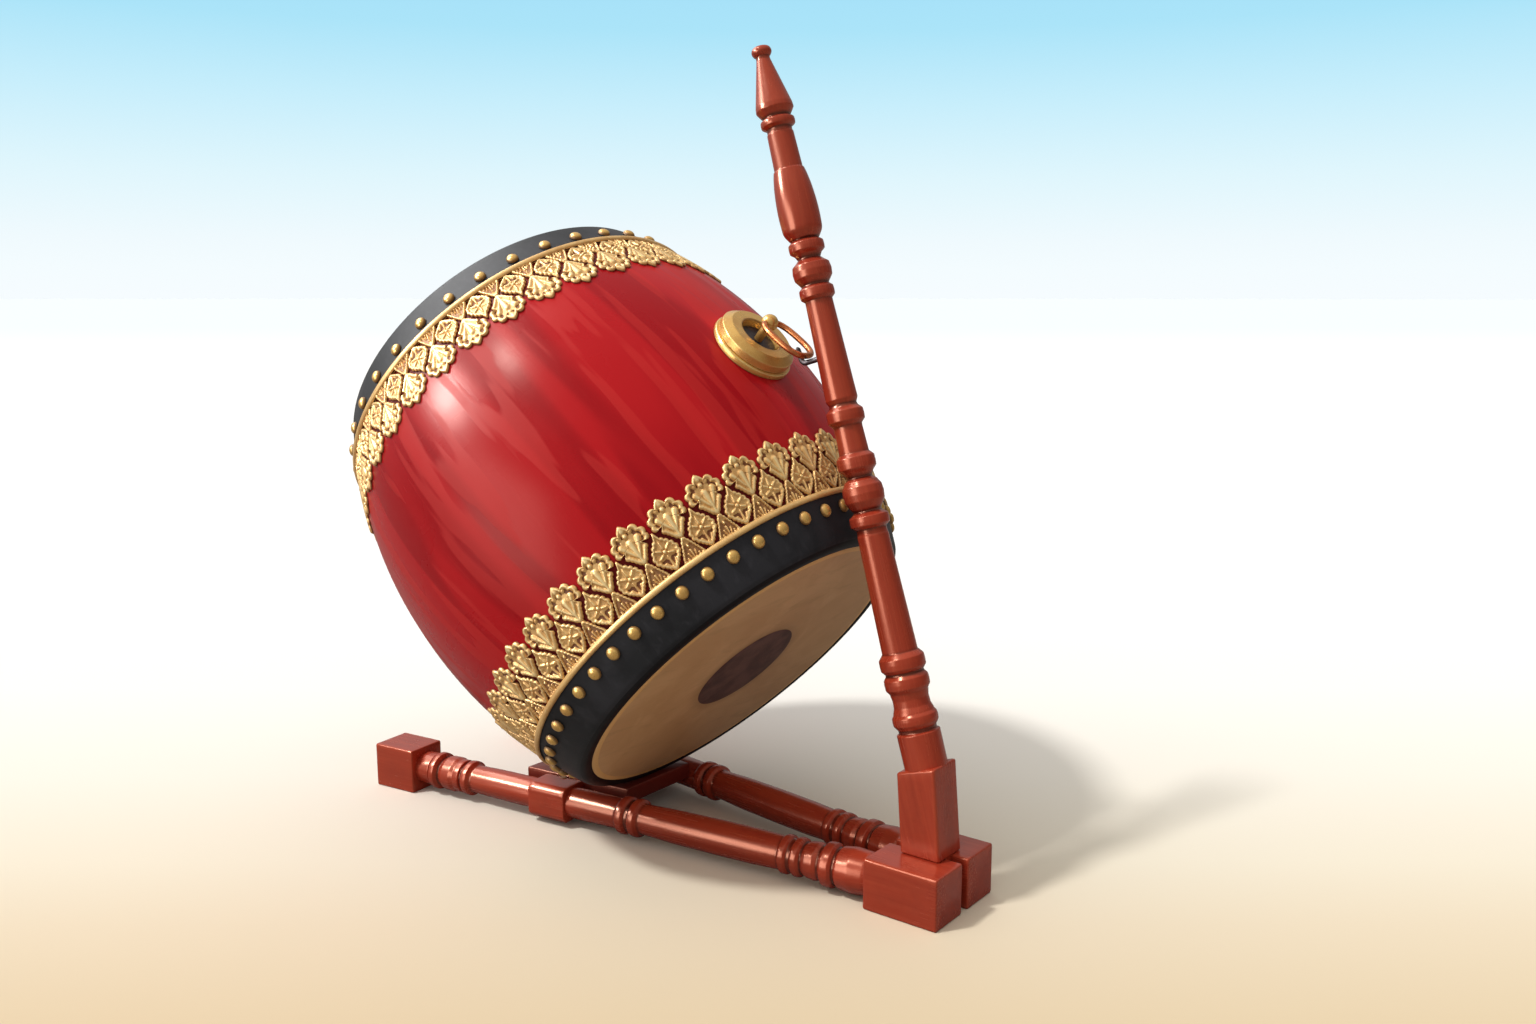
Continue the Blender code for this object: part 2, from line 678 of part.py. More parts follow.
def make_ring():
    """The ring that passes through the ball and reaches for the hook."""
    pivot = DRUM_PLACE @ BOSS_PLACE @ Vector((0, 0, BALL_HEIGHT))
    toward = Vector((math.cos(RING_DROP), 0, -math.sin(RING_DROP)))
    empty = add_empty("ring_pivot", Matrix.Translation(pivot))
    curve = bpy.data.curves.new("drum_ring", "CURVE")
    curve.dimensions = "3D"
    curve.bevel_depth = RING_WIRE_RADIUS
    curve.bevel_resolution = 3
    spline = curve.splines.new("POLY")
    spline.points.add(RING_STEPS - 1)
    for index, point in enumerate(spline.points):
        along, across = oval(math.tau * (index + 0.5) / RING_STEPS)
        point.co = (*(toward * (along - RING_SHIFT) + Vector((0, across, 0))), 1.0)
    spline.use_cyclic_u = True
    add_object("drum_ring", curve, empty, COPPER)
    return pivot + toward * (RING_LENGTH - RING_SHIFT)


# Stand

def make_blocks():
    """The two blocks side by side, bored for the rails' tenons and for the dowels."""
    inner = BLOCK_SPACING / 2
    for name, side in (("post_block_front", -1), ("post_block_back", 1)):
        low = (-BLOCK_LENGTH, inner, 0) if side > 0 else (-BLOCK_LENGTH, -inner - BLOCK_WIDTH, 0)
        high = (0, inner + BLOCK_WIDTH, BLOCK_HEIGHT) if side > 0 else (0, -inner, BLOCK_HEIGHT)
        block = add_object(name, box_mesh(name, low, high), None, STAIN_RED)
        block.location = (FACE_X, 0, 0)
        bevel(block, EDGE_BEVEL)
        depth = TENON_LENGTH + 0.001
        mouth = HOUSING_RADIUS
        bore = TENON_RADIUS + 2 * GAP
        mortise = turned_cutter(
            name + "_mortise",
            [(0.02, 0.0), (0.02, mouth), (0.0, mouth), (0.0, bore), (-depth, bore), (-depth, 0.0)],
            RAIL_STEPS)
        mortise.matrix_world = rail_place(side)
        boolean(block, mortise, "DIFFERENCE")
        for cutter in dowel_cutters:
            boolean(block, cutter, "DIFFERENCE")


def dowel_spots():
    """Distances from the blocks' face to the two dowels."""
    return [POST_FOOT_X - DOWEL_SPREAD / 2 * turn for turn in (-1, 1)]


dowel_cutters = []


def make_dowels():
    """Two blind dowels that pin the post's tongue between the blocks."""
    half = DOWEL_LENGTH / 2
    rod = rod_mesh("dowel", DOWEL_RADIUS, -half, half, DOWEL_SIDES, "Y", (0.0, DOWEL_HEIGHT))
    bore = rod_mesh("dowel_bore", DOWEL_RADIUS + GAP, -half - 0.001, half + 0.001, DOWEL_SIDES,
                    "Y", (0.0, DOWEL_HEIGHT))
    rod.materials.append(finish_material("block_dowel", RAW_WOOD))
    for index, spot in enumerate(dowel_spots()):
        add_object(f"block_dowel_{index + 1}", rod).location = (FACE_X - spot, 0, 0)
        cutter = add_cutter(f"dowel_bore_{index + 1}", bore)
        cutter.location = (FACE_X - spot, 0, 0)
        dowel_cutters.append(cutter)


def rail_place(side):
    """A rail's frame: Z runs out along the rail, X is up, Y is level."""
    out = Vector((-math.cos(RAIL_SPREAD), side * math.sin(RAIL_SPREAD), 0))
    up = Vector((0, 0, 1))
    level = out.cross(up)
    frame = Matrix((up, level, out)).transposed().to_4x4()
    start = (FACE_X - BLOCK_LENGTH, side * (BLOCK_SPACING + BLOCK_WIDTH) / 2, BLOCK_HEIGHT / 2)
    return Matrix.Translation(start) @ frame


def rail_profile():
    """The turning along a rail, from its far end to its tenon."""
    return (
        [(RAIL_LENGTH + RAIL_END_LENGTH / 2, 0.0), (RAIL_LENGTH + RAIL_END_LENGTH / 2, 0.0190),
         (0.6640, 0.0210), (0.6430, 0.0210), (0.6425, 0.0185)]
        + bead(0.6290, 0.6420, 0.0195, 0.0240)
        + [(0.6270, 0.0180)]
        + swell(0.5990, 0.6250, 0.0195, 0.0205, 0.0226)
        + [(0.5980, 0.0212), (0.5915, 0.0212), (0.5900, 0.0180)]
        + bead(0.5740, 0.5880, 0.0185, 0.0224)
        + [(0.5720, 0.0170), (0.4600, 0.0172), (0.4130, 0.0180), (0.4050, 0.0180), (0.3420, 0.0185)]
        + bead(0.3260, 0.3400, 0.0190, 0.0230)
        + bead(0.3080, 0.3220, 0.0190, 0.0230)
        + [(0.3060, 0.0172), (0.2100, 0.0184), (0.1170, 0.0190)]
        + bead(0.1030, 0.1150, 0.0190, 0.0223)
        + bead(0.0870, 0.0990, 0.0190, 0.0223)
        + swell(0.0640, 0.0855, 0.0190, 0.0185, 0.0218)
        + bead(0.0450, 0.0620, 0.0205, 0.0252)
        + swell(0.0004, 0.0430, 0.0205, 0.0205, 0.0258)
        + [(0.0004, TENON_RADIUS), (-TENON_LENGTH, TENON_RADIUS), (-TENON_LENGTH, 0.0)])


def make_rail(name, side):
    """A turned rail with its square end, square collar and tenon."""
    place = rail_place(side)
    inward = -side
    rail = turned(name, rail_profile(), RAIL_STEPS, None, STAIN_RED)
    rail.matrix_world = place
    half_up = BLOCK_HEIGHT / 2
    half_across = BLOCK_WIDTH / 2
    end = add_cutter(name + "_square_end", box_mesh(
        name + "_square_end", (-half_up, -half_across, RAIL_LENGTH),
        (half_up, half_across, RAIL_LENGTH + RAIL_END_LENGTH)))
    end.matrix_world = place
    bevel(end, EDGE_BEVEL)
    boolean(rail, end, "UNION")
    half = COLLAR_SIDE / 2
    collar = add_cutter(name + "_collar", box_mesh(
        name + "_collar", (-half, -half, COLLAR_START), (half, half, COLLAR_END)))
    collar.matrix_world = place
    long_edges = collar.modifiers.new("edges", "BEVEL")
    long_edges.width = COLLAR_BEVEL
    long_edges.segments = 1
    long_edges.limit_method = "WEIGHT"
    weight_long_edges(collar.data)
    boolean(rail, collar, "UNION")
    floor = BOARD_TOP - BOARD_THICKNESS - GAP - BLOCK_HEIGHT / 2
    ledge = half - LUG_DEPTH
    near, far = sorted((inward * ledge, inward * (half + 0.01)))
    rebate = add_cutter(name + "_rebate", box_mesh(
        name + "_rebate", (floor, near, COLLAR_START - 0.001), (half + 0.01, far, COLLAR_END + 0.001)))
    rebate.matrix_world = place
    boolean(rail, rebate, "DIFFERENCE")
    peg_end = BOARD_TOP - PEG_LENGTH - GAP - BLOCK_HEIGHT / 2
    peg_spot = (inward * (ledge + PEG_INSET), (COLLAR_START + COLLAR_END) / 2)
    bore = add_cutter(name + "_peg_bore", rod_mesh(
        name + "_peg_bore", PEG_RADIUS + GAP, peg_end, half + 0.01, 10, "X", peg_spot))
    bore.matrix_world = place
    boolean(rail, bore, "DIFFERENCE")


def weight_long_edges(mesh):
    """Mark the four edges along the rail for the collar's chamfer."""
    weights = mesh.attributes.new("bevel_weight_edge", "FLOAT", "EDGE")
    for edge in mesh.edges:
        first, second = (mesh.vertices[index].co for index in edge.vertices)
        along = abs(first.z - second.z) > 0.001
        weights.data[edge.index].value = 1.0 if along else 0.0


def level_point(side, along, inset):
    """Plan position of a point beside a rail: along it, and inset towards the middle."""
    spot = rail_place(side) @ Vector((0, -side * inset, along))
    return spot.x, spot.y


def make_board():
    """The cross board: tapered with the rails' spread, with a lug in each collar."""
    half = COLLAR_SIDE / 2
    ledge = half - LUG_DEPTH + GAP
    steps = [(BOARD_START, BOARD_END_OFFSET), (COLLAR_START + GAP, BOARD_END_OFFSET),
             (COLLAR_START + GAP, ledge), (COLLAR_END - GAP, ledge),
             (COLLAR_END - GAP, BOARD_END_OFFSET), (BOARD_END, BOARD_END_OFFSET)]
    front = [level_point(-1, along, inset) for along, inset in steps]
    back = [level_point(1, along, inset) for along, inset in reversed(steps)]
    mesh = flat_plate("cross_board", front + back, BOARD_THICKNESS)
    board = add_object("cross_board", mesh, None, STAIN_DARK)
    board.location = (0, 0, BOARD_TOP - BOARD_THICKNESS / 2)
    peg = rod_mesh("peg", PEG_RADIUS, BOARD_TOP - PEG_LENGTH, BOARD_TOP - GAP, 10)
    peg.materials.append(finish_material("board_peg", RAW_WOOD))
    bore = rod_mesh("board_bore", PEG_RADIUS + GAP, BOARD_TOP - BOARD_THICKNESS - 0.01,
                    BOARD_TOP + 0.01, 10)
    along = (COLLAR_START + COLLAR_END) / 2
    inset = half - LUG_DEPTH + PEG_INSET
    for label, side in (("front", -1), ("back", 1)):
        x, y = level_point(side, along, inset)
        add_object(f"board_peg_{label}", peg).location = (x, y, 0)
        cutter = add_cutter(f"board_bore_{label}", bore)
        cutter.location = (x, y, 0)
        boolean(board, cutter, "DIFFERENCE")


def post_profile():
    """The turning up the post, from its knob to the shoulder over the foot.

    It is drawn in shares of the post's length and of its greatest radius.
    """
    turning = (
        [(1.0, 0.0), (1.0, 0.24), (0.99732, 0.392), (0.99285, 0.444), (0.98894, 0.384),
         (0.9867, 0.296), (0.98335, 0.308), (0.92636, 0.812), (0.92077, 0.832), (0.91183, 0.62)]
        + bead(0.89842, 0.91072, 0.6, 0.76)
        + [(0.89731, 0.552), (0.89284, 0.552), (0.89172, 0.584), (0.84646, 0.628)]
        + [(0.84479, 0.664), (0.82691, 0.752), (0.80456, 0.844), (0.78221, 0.888),
           (0.77271, 0.88), (0.76098, 0.66)]
        + bead(0.74198, 0.7593, 0.6, 0.784)
        + [(0.7364, 0.496), (0.73081, 0.66), (0.72857, 0.8), (0.72075, 0.856),
           (0.71293, 0.848), (0.70511, 0.64)]
        + bead(0.68499, 0.70343, 0.6, 0.768)
        + [(0.68276, 0.6), (0.56207, 0.704), (0.55593, 0.6)]
        + bead(0.53023, 0.55258, 0.64, 0.824)
        + [(0.52855, 0.624), (0.49726, 0.656)]
        + bead(0.47212, 0.49559, 0.66, 0.848)
        + [(0.46597, 0.54), (0.4615, 0.72)]
        + swell(0.43133, 0.45927, 0.72, 0.8, 0.904)
        + [(0.42519, 0.6)]
        + bead(0.4034, 0.42295, 0.66, 0.872)
        + [(0.40228, 0.66), (0.39669, 0.66), (0.39502, 0.688), (0.25142, 0.78)]
        + bead(0.22684, 0.24975, 0.84, 1.0)
        + bead(0.20337, 0.22461, 0.848, 0.984)
        + [(0.19444, 0.792), (0.1855, 0.808), (0.17935, 0.888)]
        + bead(0.16091, 0.17767, 0.896, 1.0)
        + [(0.15868, 0.832), (0.15477, 0.832), (0.15309, 0.952)])
    root = POST_SHOULDER - POST_ROOT_LENGTH
    return ([(POST_LENGTH * up, POST_GIRTH * out) for up, out in turning]
            + [(POST_SHOULDER, FOOT_SIDE / 2), (root, POST_ROOT_RADIUS), (root, 0.0)])


POST = add_empty(
    "post_axis",
    Matrix.Translation((FACE_X - POST_AXIS_X, 0, BLOCK_HEIGHT)) @ Matrix.Rotation(-POST_LEAN, 4, "Y"))


def foot_mesh():
    """The square foot: cut level below, square to the post's axis at its shoulder."""
    half = FOOT_SIDE / 2
    mesh = box_mesh("post_foot", (-half, -half, 0), (half, half, 1))
    shape = bmesh.new()
    shape.from_mesh(mesh)
    turn = Matrix.Rotation(-POST_LEAN, 4, "Y")
    base = Vector((POST_AXIS_X - POST_FOOT_X, 0, GAP))
    for vert in shape.verts:
        level = Vector((vert.co.x, vert.co.y, 0))
        if vert.co.z > 0.5:
            vert.co = turn @ (level + Vector((0, 0, POST_SHOULDER)))
        else:
            vert.co = base + level
    shape.to_mesh(mesh)
    shape.free()
    mesh.transform(turn.inverted())
    return mesh


def make_post(hook_spot):
    """The leaning post: turning, square foot and the tongue between the blocks, in one."""
    post = turned("stand_post", post_profile(), POST_STEPS, POST, STAIN_RED)
    foot = add_cutter("post_foot", foot_mesh(), POST)
    bevel(foot, EDGE_BEVEL)
    boolean(post, foot, "UNION")
    half = TONGUE_LENGTH / 2
    thick = BLOCK_SPACING / 2 - GAP
    tongue = add_cutter("post_tongue", box_mesh(
        "post_tongue", (-half, -thick, BLOCK_HEIGHT - TONGUE_DEPTH),
        (half, thick, BLOCK_HEIGHT + 0.010)))
    tongue.location = (FACE_X - POST_FOOT_X, 0, 0)
    boolean(post, tongue, "UNION")
    for cutter in dowel_cutters:
        boolean(post, cutter, "DIFFERENCE")
    out, height = hook_spot
    bore = rod_mesh("hook_bore", HOOK_WIRE_RADIUS + GAP, -HOOK_SHANK - GAP, 0.03, 10, "X",
                    (0.0, height))
    bore.transform(Matrix.Rotation(math.pi, 4, "Z"))
    boolean(post, add_cutter("hook_bore", bore, POST), "DIFFERENCE")


def post_coordinates(point):
    """Distance towards the drum from the post's axis, and distance up the axis."""
    local = Matrix.Rotation(POST_LEAN, 4, "Y") @ (
        point - Vector((FACE_X - POST_AXIS_X, 0, BLOCK_HEIGHT)))
    return -local.x, local.z


def make_hook(ring_end):
    """The hook in the post: a shank, a run under the ring and an upturned tip."""
    out, height = post_coordinates(ring_end)
    under = height - RING_WIRE_RADIUS - HOOK_WIRE_RADIUS - HOOK_PLAY
    riser = out + RING_WIRE_RADIUS + HOOK_WIRE_RADIUS + HOOK_PLAY
    tip = height + HOOK_RISE
    flare = math.tan(LIFT_LEAN - POST_LEAN)
    path = [(-HOOK_SHANK, under), (riser - HOOK_BEND, under)]
    for step in range(1, 4):
        angle = math.pi / 2 * step / 4
        path.append((riser - HOOK_BEND + HOOK_BEND * math.sin(angle),
                     under + HOOK_BEND - HOOK_BEND * math.cos(angle)))
    path += [(riser, under + HOOK_BEND), (riser + flare * (tip - under - HOOK_BEND), tip)]
    curve = bpy.data.curves.new("post_hook", "CURVE")
    curve.dimensions = "3D"
    curve.bevel_depth = HOOK_WIRE_RADIUS
    curve.bevel_resolution = 2
    curve.use_fill_caps = True
    spline = curve.splines.new("POLY")
    spline.points.add(len(path) - 1)
    for point, (toward, up) in zip(spline.points, path):
        point.co = (-toward, 0.0, up, 1.0)
    add_object("post_hook", curve, POST, IRON)
    return out, under


def build():
    """Make every piece, the drum first and then the stand round it."""
    make_shell()
    for label, end, studs, shift in (("bottom", Matrix.Identity(4), BOTTOM_STUD_COUNT, 0.0),
                                     ("top", TOP_END, TOP_STUD_COUNT, 0.5)):
        make_hide(label + "_hide", end)
        make_skirt(label + "_skirt", end)
        make_patch(label + "_patch", end)
        make_studs(label + "_studs", end, studs, shift)
        make_hoop(label + "_hoop", end)
        make_leaf_row(label + "_root_leaves", end, ROOT_LEAF, ROOT_LEAF_INSET, ROOT_LEAF_LENGTH, 0.5)
        make_leaf_row(label + "_diamond_leaves", end, DIAMOND_LEAF, DIAMOND_LEAF_INSET,
                      DIAMOND_LEAF_LENGTH, 0.0)
        make_leaf_row(label + "_fan_leaves", end, FAN_LEAF, FAN_LEAF_INSET, FAN_LEAF_LENGTH, 0.5)
    make_boss()
    make_bolt()
    ring_end = make_ring()
    make_dowels()
    make_blocks()
    make_rail("rail_front", -1)
    make_rail("rail_back", 1)
    make_board()
    hook_spot = make_hook(ring_end)
    make_post(hook_spot)


build()
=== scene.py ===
"""Khmer barrel drum in its turned stand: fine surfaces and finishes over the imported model."""
from math import asin, cos, pi, radians, sin, tan, tau

import bpy
import numpy as np
from mathutils import Matrix, Vector


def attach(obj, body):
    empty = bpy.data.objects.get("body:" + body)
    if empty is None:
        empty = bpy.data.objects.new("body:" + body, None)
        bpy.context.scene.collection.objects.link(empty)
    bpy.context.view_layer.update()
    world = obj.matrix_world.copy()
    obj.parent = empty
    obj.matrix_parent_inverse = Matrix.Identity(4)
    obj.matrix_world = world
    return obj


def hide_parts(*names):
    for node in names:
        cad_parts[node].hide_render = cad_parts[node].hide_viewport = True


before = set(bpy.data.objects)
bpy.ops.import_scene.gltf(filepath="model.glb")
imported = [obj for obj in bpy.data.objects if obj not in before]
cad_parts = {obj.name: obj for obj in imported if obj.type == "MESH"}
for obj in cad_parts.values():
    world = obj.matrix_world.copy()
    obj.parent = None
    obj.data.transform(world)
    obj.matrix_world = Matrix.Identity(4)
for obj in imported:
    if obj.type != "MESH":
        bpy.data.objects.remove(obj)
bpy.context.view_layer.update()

join, spaced = np.concatenate, np.linspace

# Sizes that the fine surfaces share with the solids, in metres
MM = 0.001
GAP = 0.0003
FACE_X = 0.41715
HEAD_BEHIND_FACE = 0.298228
HEAD_HEIGHT = 0.218795
BARREL_LENGTH = 0.520
BARREL_END_RADIUS = 0.2235
BARREL_BELLY_RADIUS = 0.2862
BARREL_CURVE = 2.11
BARREL_TILT = radians(48.0)
SHELL_WALL = 0.022
HIDE_THICKNESS = 0.003
SKIRT_THICKNESS = 0.0015
SKIRT_DEPTH = 0.0565
SKIRT_FLATS = 0.0003
LIP_RADIUS = 0.0125
LIP_END = radians(25)
FACE_RADIUS = 0.2125
PATCH_RADIUS = 0.068
PATCH_RISE = 0.0012
HOOP_LOW, HOOP_HIGH, HOOP_RISE = 0.0492, 0.0563, 0.0034
STUD_RADIUS, STUD_RISE, STUD_SIDES = 0.0069, 0.0058, 20
STUD_INSET = 0.0376
STUD_ROWS = {"bottom": (48, 0.0), "top": (36, 0.5)}  # count, shift in pitches
LEAF_COUNT = 36
BOSS_INSET = 0.4654 * BARREL_LENGTH
BALL_HEIGHT = 0.0370
BALL_RADIUS = 0.0096
BOLT_RADIUS = 0.0050
BLOCK_LENGTH = 0.0909
BLOCK_WIDTH = 0.0544
BLOCK_HEIGHT = 0.0575
BLOCK_SPACING = 0.0124
RAIL_SPREAD = radians(7.3)
RAIL_LENGTH = 0.6634
RAIL_END_LENGTH = 0.0659
COLLAR_START, COLLAR_END, COLLAR_HALF = 0.4150, 0.4704, 0.0220
POST_LEAN = radians(16.4)
LIFT_LEAN = radians(24.0)
POST_FOOT_X = 0.0430
POST_AXIS_X = 0.0225
POST_SHOULDER = 0.0997
FOOT_SIDE = 0.0480
BOARD_TOP = 0.0520
BOARD_THICKNESS = 0.0200
BOARD_START, BOARD_END, BOARD_INSET = 0.3480, 0.5050, 0.0200
SIDES = (("front", -1), ("back", 1))


def barrel_radius(inset):
    """Radius of the barrel's side at a distance from the bottom head."""
    offset = np.abs(1 - 2 * np.asarray(inset, float) / BARREL_LENGTH)
    return BARREL_BELLY_RADIUS - (BARREL_BELLY_RADIUS - BARREL_END_RADIUS) * offset ** BARREL_CURVE


def placed(spot, angle=0.0, axis="Y"):
    """The matrix that turns a piece about an axis and moves it to a spot."""
    return np.array(Matrix.Translation(spot) @ Matrix.Rotation(angle, 4, axis))


DRUM = placed((FACE_X - HEAD_BEHIND_FACE, 0, HEAD_HEIGHT), -BARREL_TILT)
BOSS = DRUM @ placed((float(barrel_radius(BOSS_INSET)), 0, BOSS_INSET), pi / 2)
POST = placed((FACE_X - POST_AXIS_X, 0, BLOCK_HEIGHT), -POST_LEAN)
TOP = placed((0, 0, BARREL_LENGTH), pi, "X")


def beside(*columns):
    """Arrays or numbers side by side: as points' coordinates, or as faces' corners."""
    return np.stack(np.broadcast_arrays(*columns), axis=-1)


def turns(count, shift=0.0):
    """Even angles round a circle, turned on by a share of a step."""
    return (np.arange(count) + shift) * tau / count


def around_z(radius, angle, height):
    """Points at a radius and an angle round Z, at a height."""
    return beside(radius * np.cos(angle), radius * np.sin(angle), height)


def add_object(name, data):
    """A new object in the scene."""
    thing = bpy.data.objects.new(name, data)
    bpy.context.scene.collection.objects.link(thing)
    return thing


# Meshes from numpy surfaces

def solid(name, points, faces, matrix, body, slot, replaced=(), edge=0.0, local=None,
          sharp=40.0):
    """A closed piece from local points and faces, turned outwards by the sign of its volume.

    Edge is 1 on rubbed edges and crests, which take wear and painted highlight, and -1 in grooves,
    which take painted shade; local is where the finish is read.
    """
    world = points @ matrix[:3, :3].T + matrix[:3, 3]
    tri = join([face[:, [0, step, step + 1]] for face in faces
                for step in range(1, face.shape[1] - 1)])
    a, b, c = world[tri[:, 0]], world[tri[:, 1]], world[tri[:, 2]]
    if np.einsum("ij,ij->i", a, np.cross(b, c)).sum() < 0:
        faces = [face[:, ::-1] for face in faces]
    mesh = bpy.data.meshes.new(name)
    mesh.vertices.add(len(world))
    mesh.vertices.foreach_set("co", world.astype(np.float32).ravel())
    corners = join([face.ravel() for face in faces])
    sizes = join([np.full(len(face), face.shape[1]) for face in faces])
    mesh.loops.add(len(corners))
    mesh.loops.foreach_set("vertex_index", corners.astype(np.int32))
    mesh.polygons.add(len(sizes))
    starts = join([[0], np.cumsum(sizes)[:-1]])
    mesh.polygons.foreach_set("loop_start", starts.astype(np.int32))
    mesh.update(calc_edges=True)
    mesh.shade_smooth()
    mesh.set_sharp_from_angle(angle=radians(sharp))
    for label, kind, field, values in (
            ("edge", "FLOAT", "value", np.broadcast_to(edge, len(world))),
            ("local", "FLOAT_VECTOR", "vector", points if local is None else local)):
        layer = mesh.attributes.new(label, kind, "POINT")
        layer.data.foreach_set(field, np.asarray(values, np.float32).ravel())
    piece = add_object(name, mesh)
    mesh.materials.append(FINISH[slot])
    if replaced:
        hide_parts(*replaced)
    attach(piece, body)


def loft_faces(rows, columns, closed=False):
    """Quads between stacked closed rings of points."""
    row = np.arange(rows if closed else rows - 1)[:, None]
    column = np.arange(columns)[None, :]
    after, below = (column + 1) % columns, (row + 1) % rows
    return beside(row * columns + column, row * columns + after,
                  below * columns + after, below * columns + column).reshape(-1, 4)


def loft(rings, closed=False):
    """Points and faces of a stack of rings (rows, columns, 3), capped by fans unless closed."""
    rows, columns = rings.shape[:2]
    points = rings.reshape(-1, 3)
    faces = [loft_faces(rows, columns, closed)]
    if not closed:
        caps = np.stack([rings[0].mean(axis=0), rings[-1].mean(axis=0)])
        column = np.arange(columns)
        after = (column + 1) % columns
        top = beside(after, column, len(points))
        low = (rows - 1) * columns
        end = beside(low + column, low + after, len(points) + 1)
        points = join([points, caps])
        faces.append(join([top, end]))
    return points, faces


def spread(values, columns, closed=False):
    """One value a ring made one value a point, the caps' centres included."""
    flat = np.repeat(values, columns)
    return flat if closed else join([flat, [values[0], values[-1]]])


def lathe_rings(profile, steps):
    """Rings of a profile of (height, radius) turned about Z."""
    profile = np.asarray(profile, float)
    return around_z(profile[:, 1:], turns(steps), profile[:, :1])


def turned(name, profile, steps, matrix, body, slot, replaced=(), closed=False, edge=None):
    """A turned piece: each (height, radius) of the profile carried round Z."""
    points, faces = loft(lathe_rings(profile, steps), closed)
    solid(name, points, faces, matrix, body, slot, replaced,
          0.0 if edge is None else spread(edge, steps, closed))


# Turning vocabulary: each gives (height, radius) points from top to bottom, in millimetres

def bead(low, high, root, crest):
    """A ring with chamfered shoulders and a slightly crowned band between them."""
    shoulder, middle, drop = (high - low) * 0.22, (high + low) / 2, 0.3
    return [(high, root), (high - shoulder, crest - drop), (middle, crest),
            (low + shoulder, crest - drop), (low, root)]


def curve(points):
    """A cubic through (height, radius) points, with Catmull-Rom slopes."""
    points = np.asarray(points, float)
    slope = np.gradient(points, axis=0)
    share = spaced(0, 1, 9)[:-1, None]
    out = []
    for start, end, go, come in zip(points[:-1], points[1:], slope[:-1], slope[1:]):
        out.append((2 * share ** 3 - 3 * share ** 2 + 1) * start
                   + (share ** 3 - 2 * share ** 2 + share) * go
                   + (3 * share ** 2 - 2 * share ** 3) * end + (share ** 3 - share ** 2) * come)
    return join(out + [points[-1:]])


def blur(values, width):
    """A running mean with a bell of the given width in samples; the ends stay."""
    reach = int(width * 3) + 1
    bell = np.exp(-0.5 * (np.arange(-reach, reach + 1) / width) ** 2)
    padded = join([2 * values[:1] - values[reach:0:-1], values,
                   2 * values[-1:] - values[-2:-reach - 2:-1]])
    return np.convolve(padded, bell / bell.sum(), "valid")


def worked(chain, step=0.0006, soften=0.7, stride=16):
    """The tool's cut along a chain in millimetres: evenly sampled, its corners eased.

    A sample stays where the cut turns or next to such a place, and every stride samples.
    Gives the profile in metres and, for each point, how far it stands out of its surroundings.
    """
    chain = MM * join([np.asarray(part, float).reshape(-1, 2) for part in chain])
    run = join([[0], np.cumsum(np.hypot(*np.diff(chain, axis=0).T))])
    at = spaced(0, run[-1], int(run[-1] / step))
    height = blur(np.interp(at, run, chain[:, 0]), soften)
    radius = blur(np.interp(at, run, chain[:, 1]), soften)
    # Used as edge values, proud points take wear and painted highlight and sunk ones painted
    # shade.
    proud = (radius - blur(radius, 0.004 / step)) / 0.0022
    direction = np.unwrap(np.arctan2(np.diff(radius), np.diff(height)))
    turning = np.zeros(len(at))
    turning[1:-1] = np.abs(np.diff(direction)) > 0.03
    keep = np.convolve(turning, np.ones(3), "same") > 0
    keep[::stride] = True
    keep[-1] = True
    return beside(height[keep], np.maximum(radius[keep], 0.0)), proud[keep]


# Finishes

def linear(colour):
    """A screen colour from 0 to 255 made linear."""
    share = [value / 255 for value in colour]
    return (*[v / 12.92 if v <= 0.04045 else ((v + 0.055) / 1.055) ** 2.4 for v in share], 1.0)


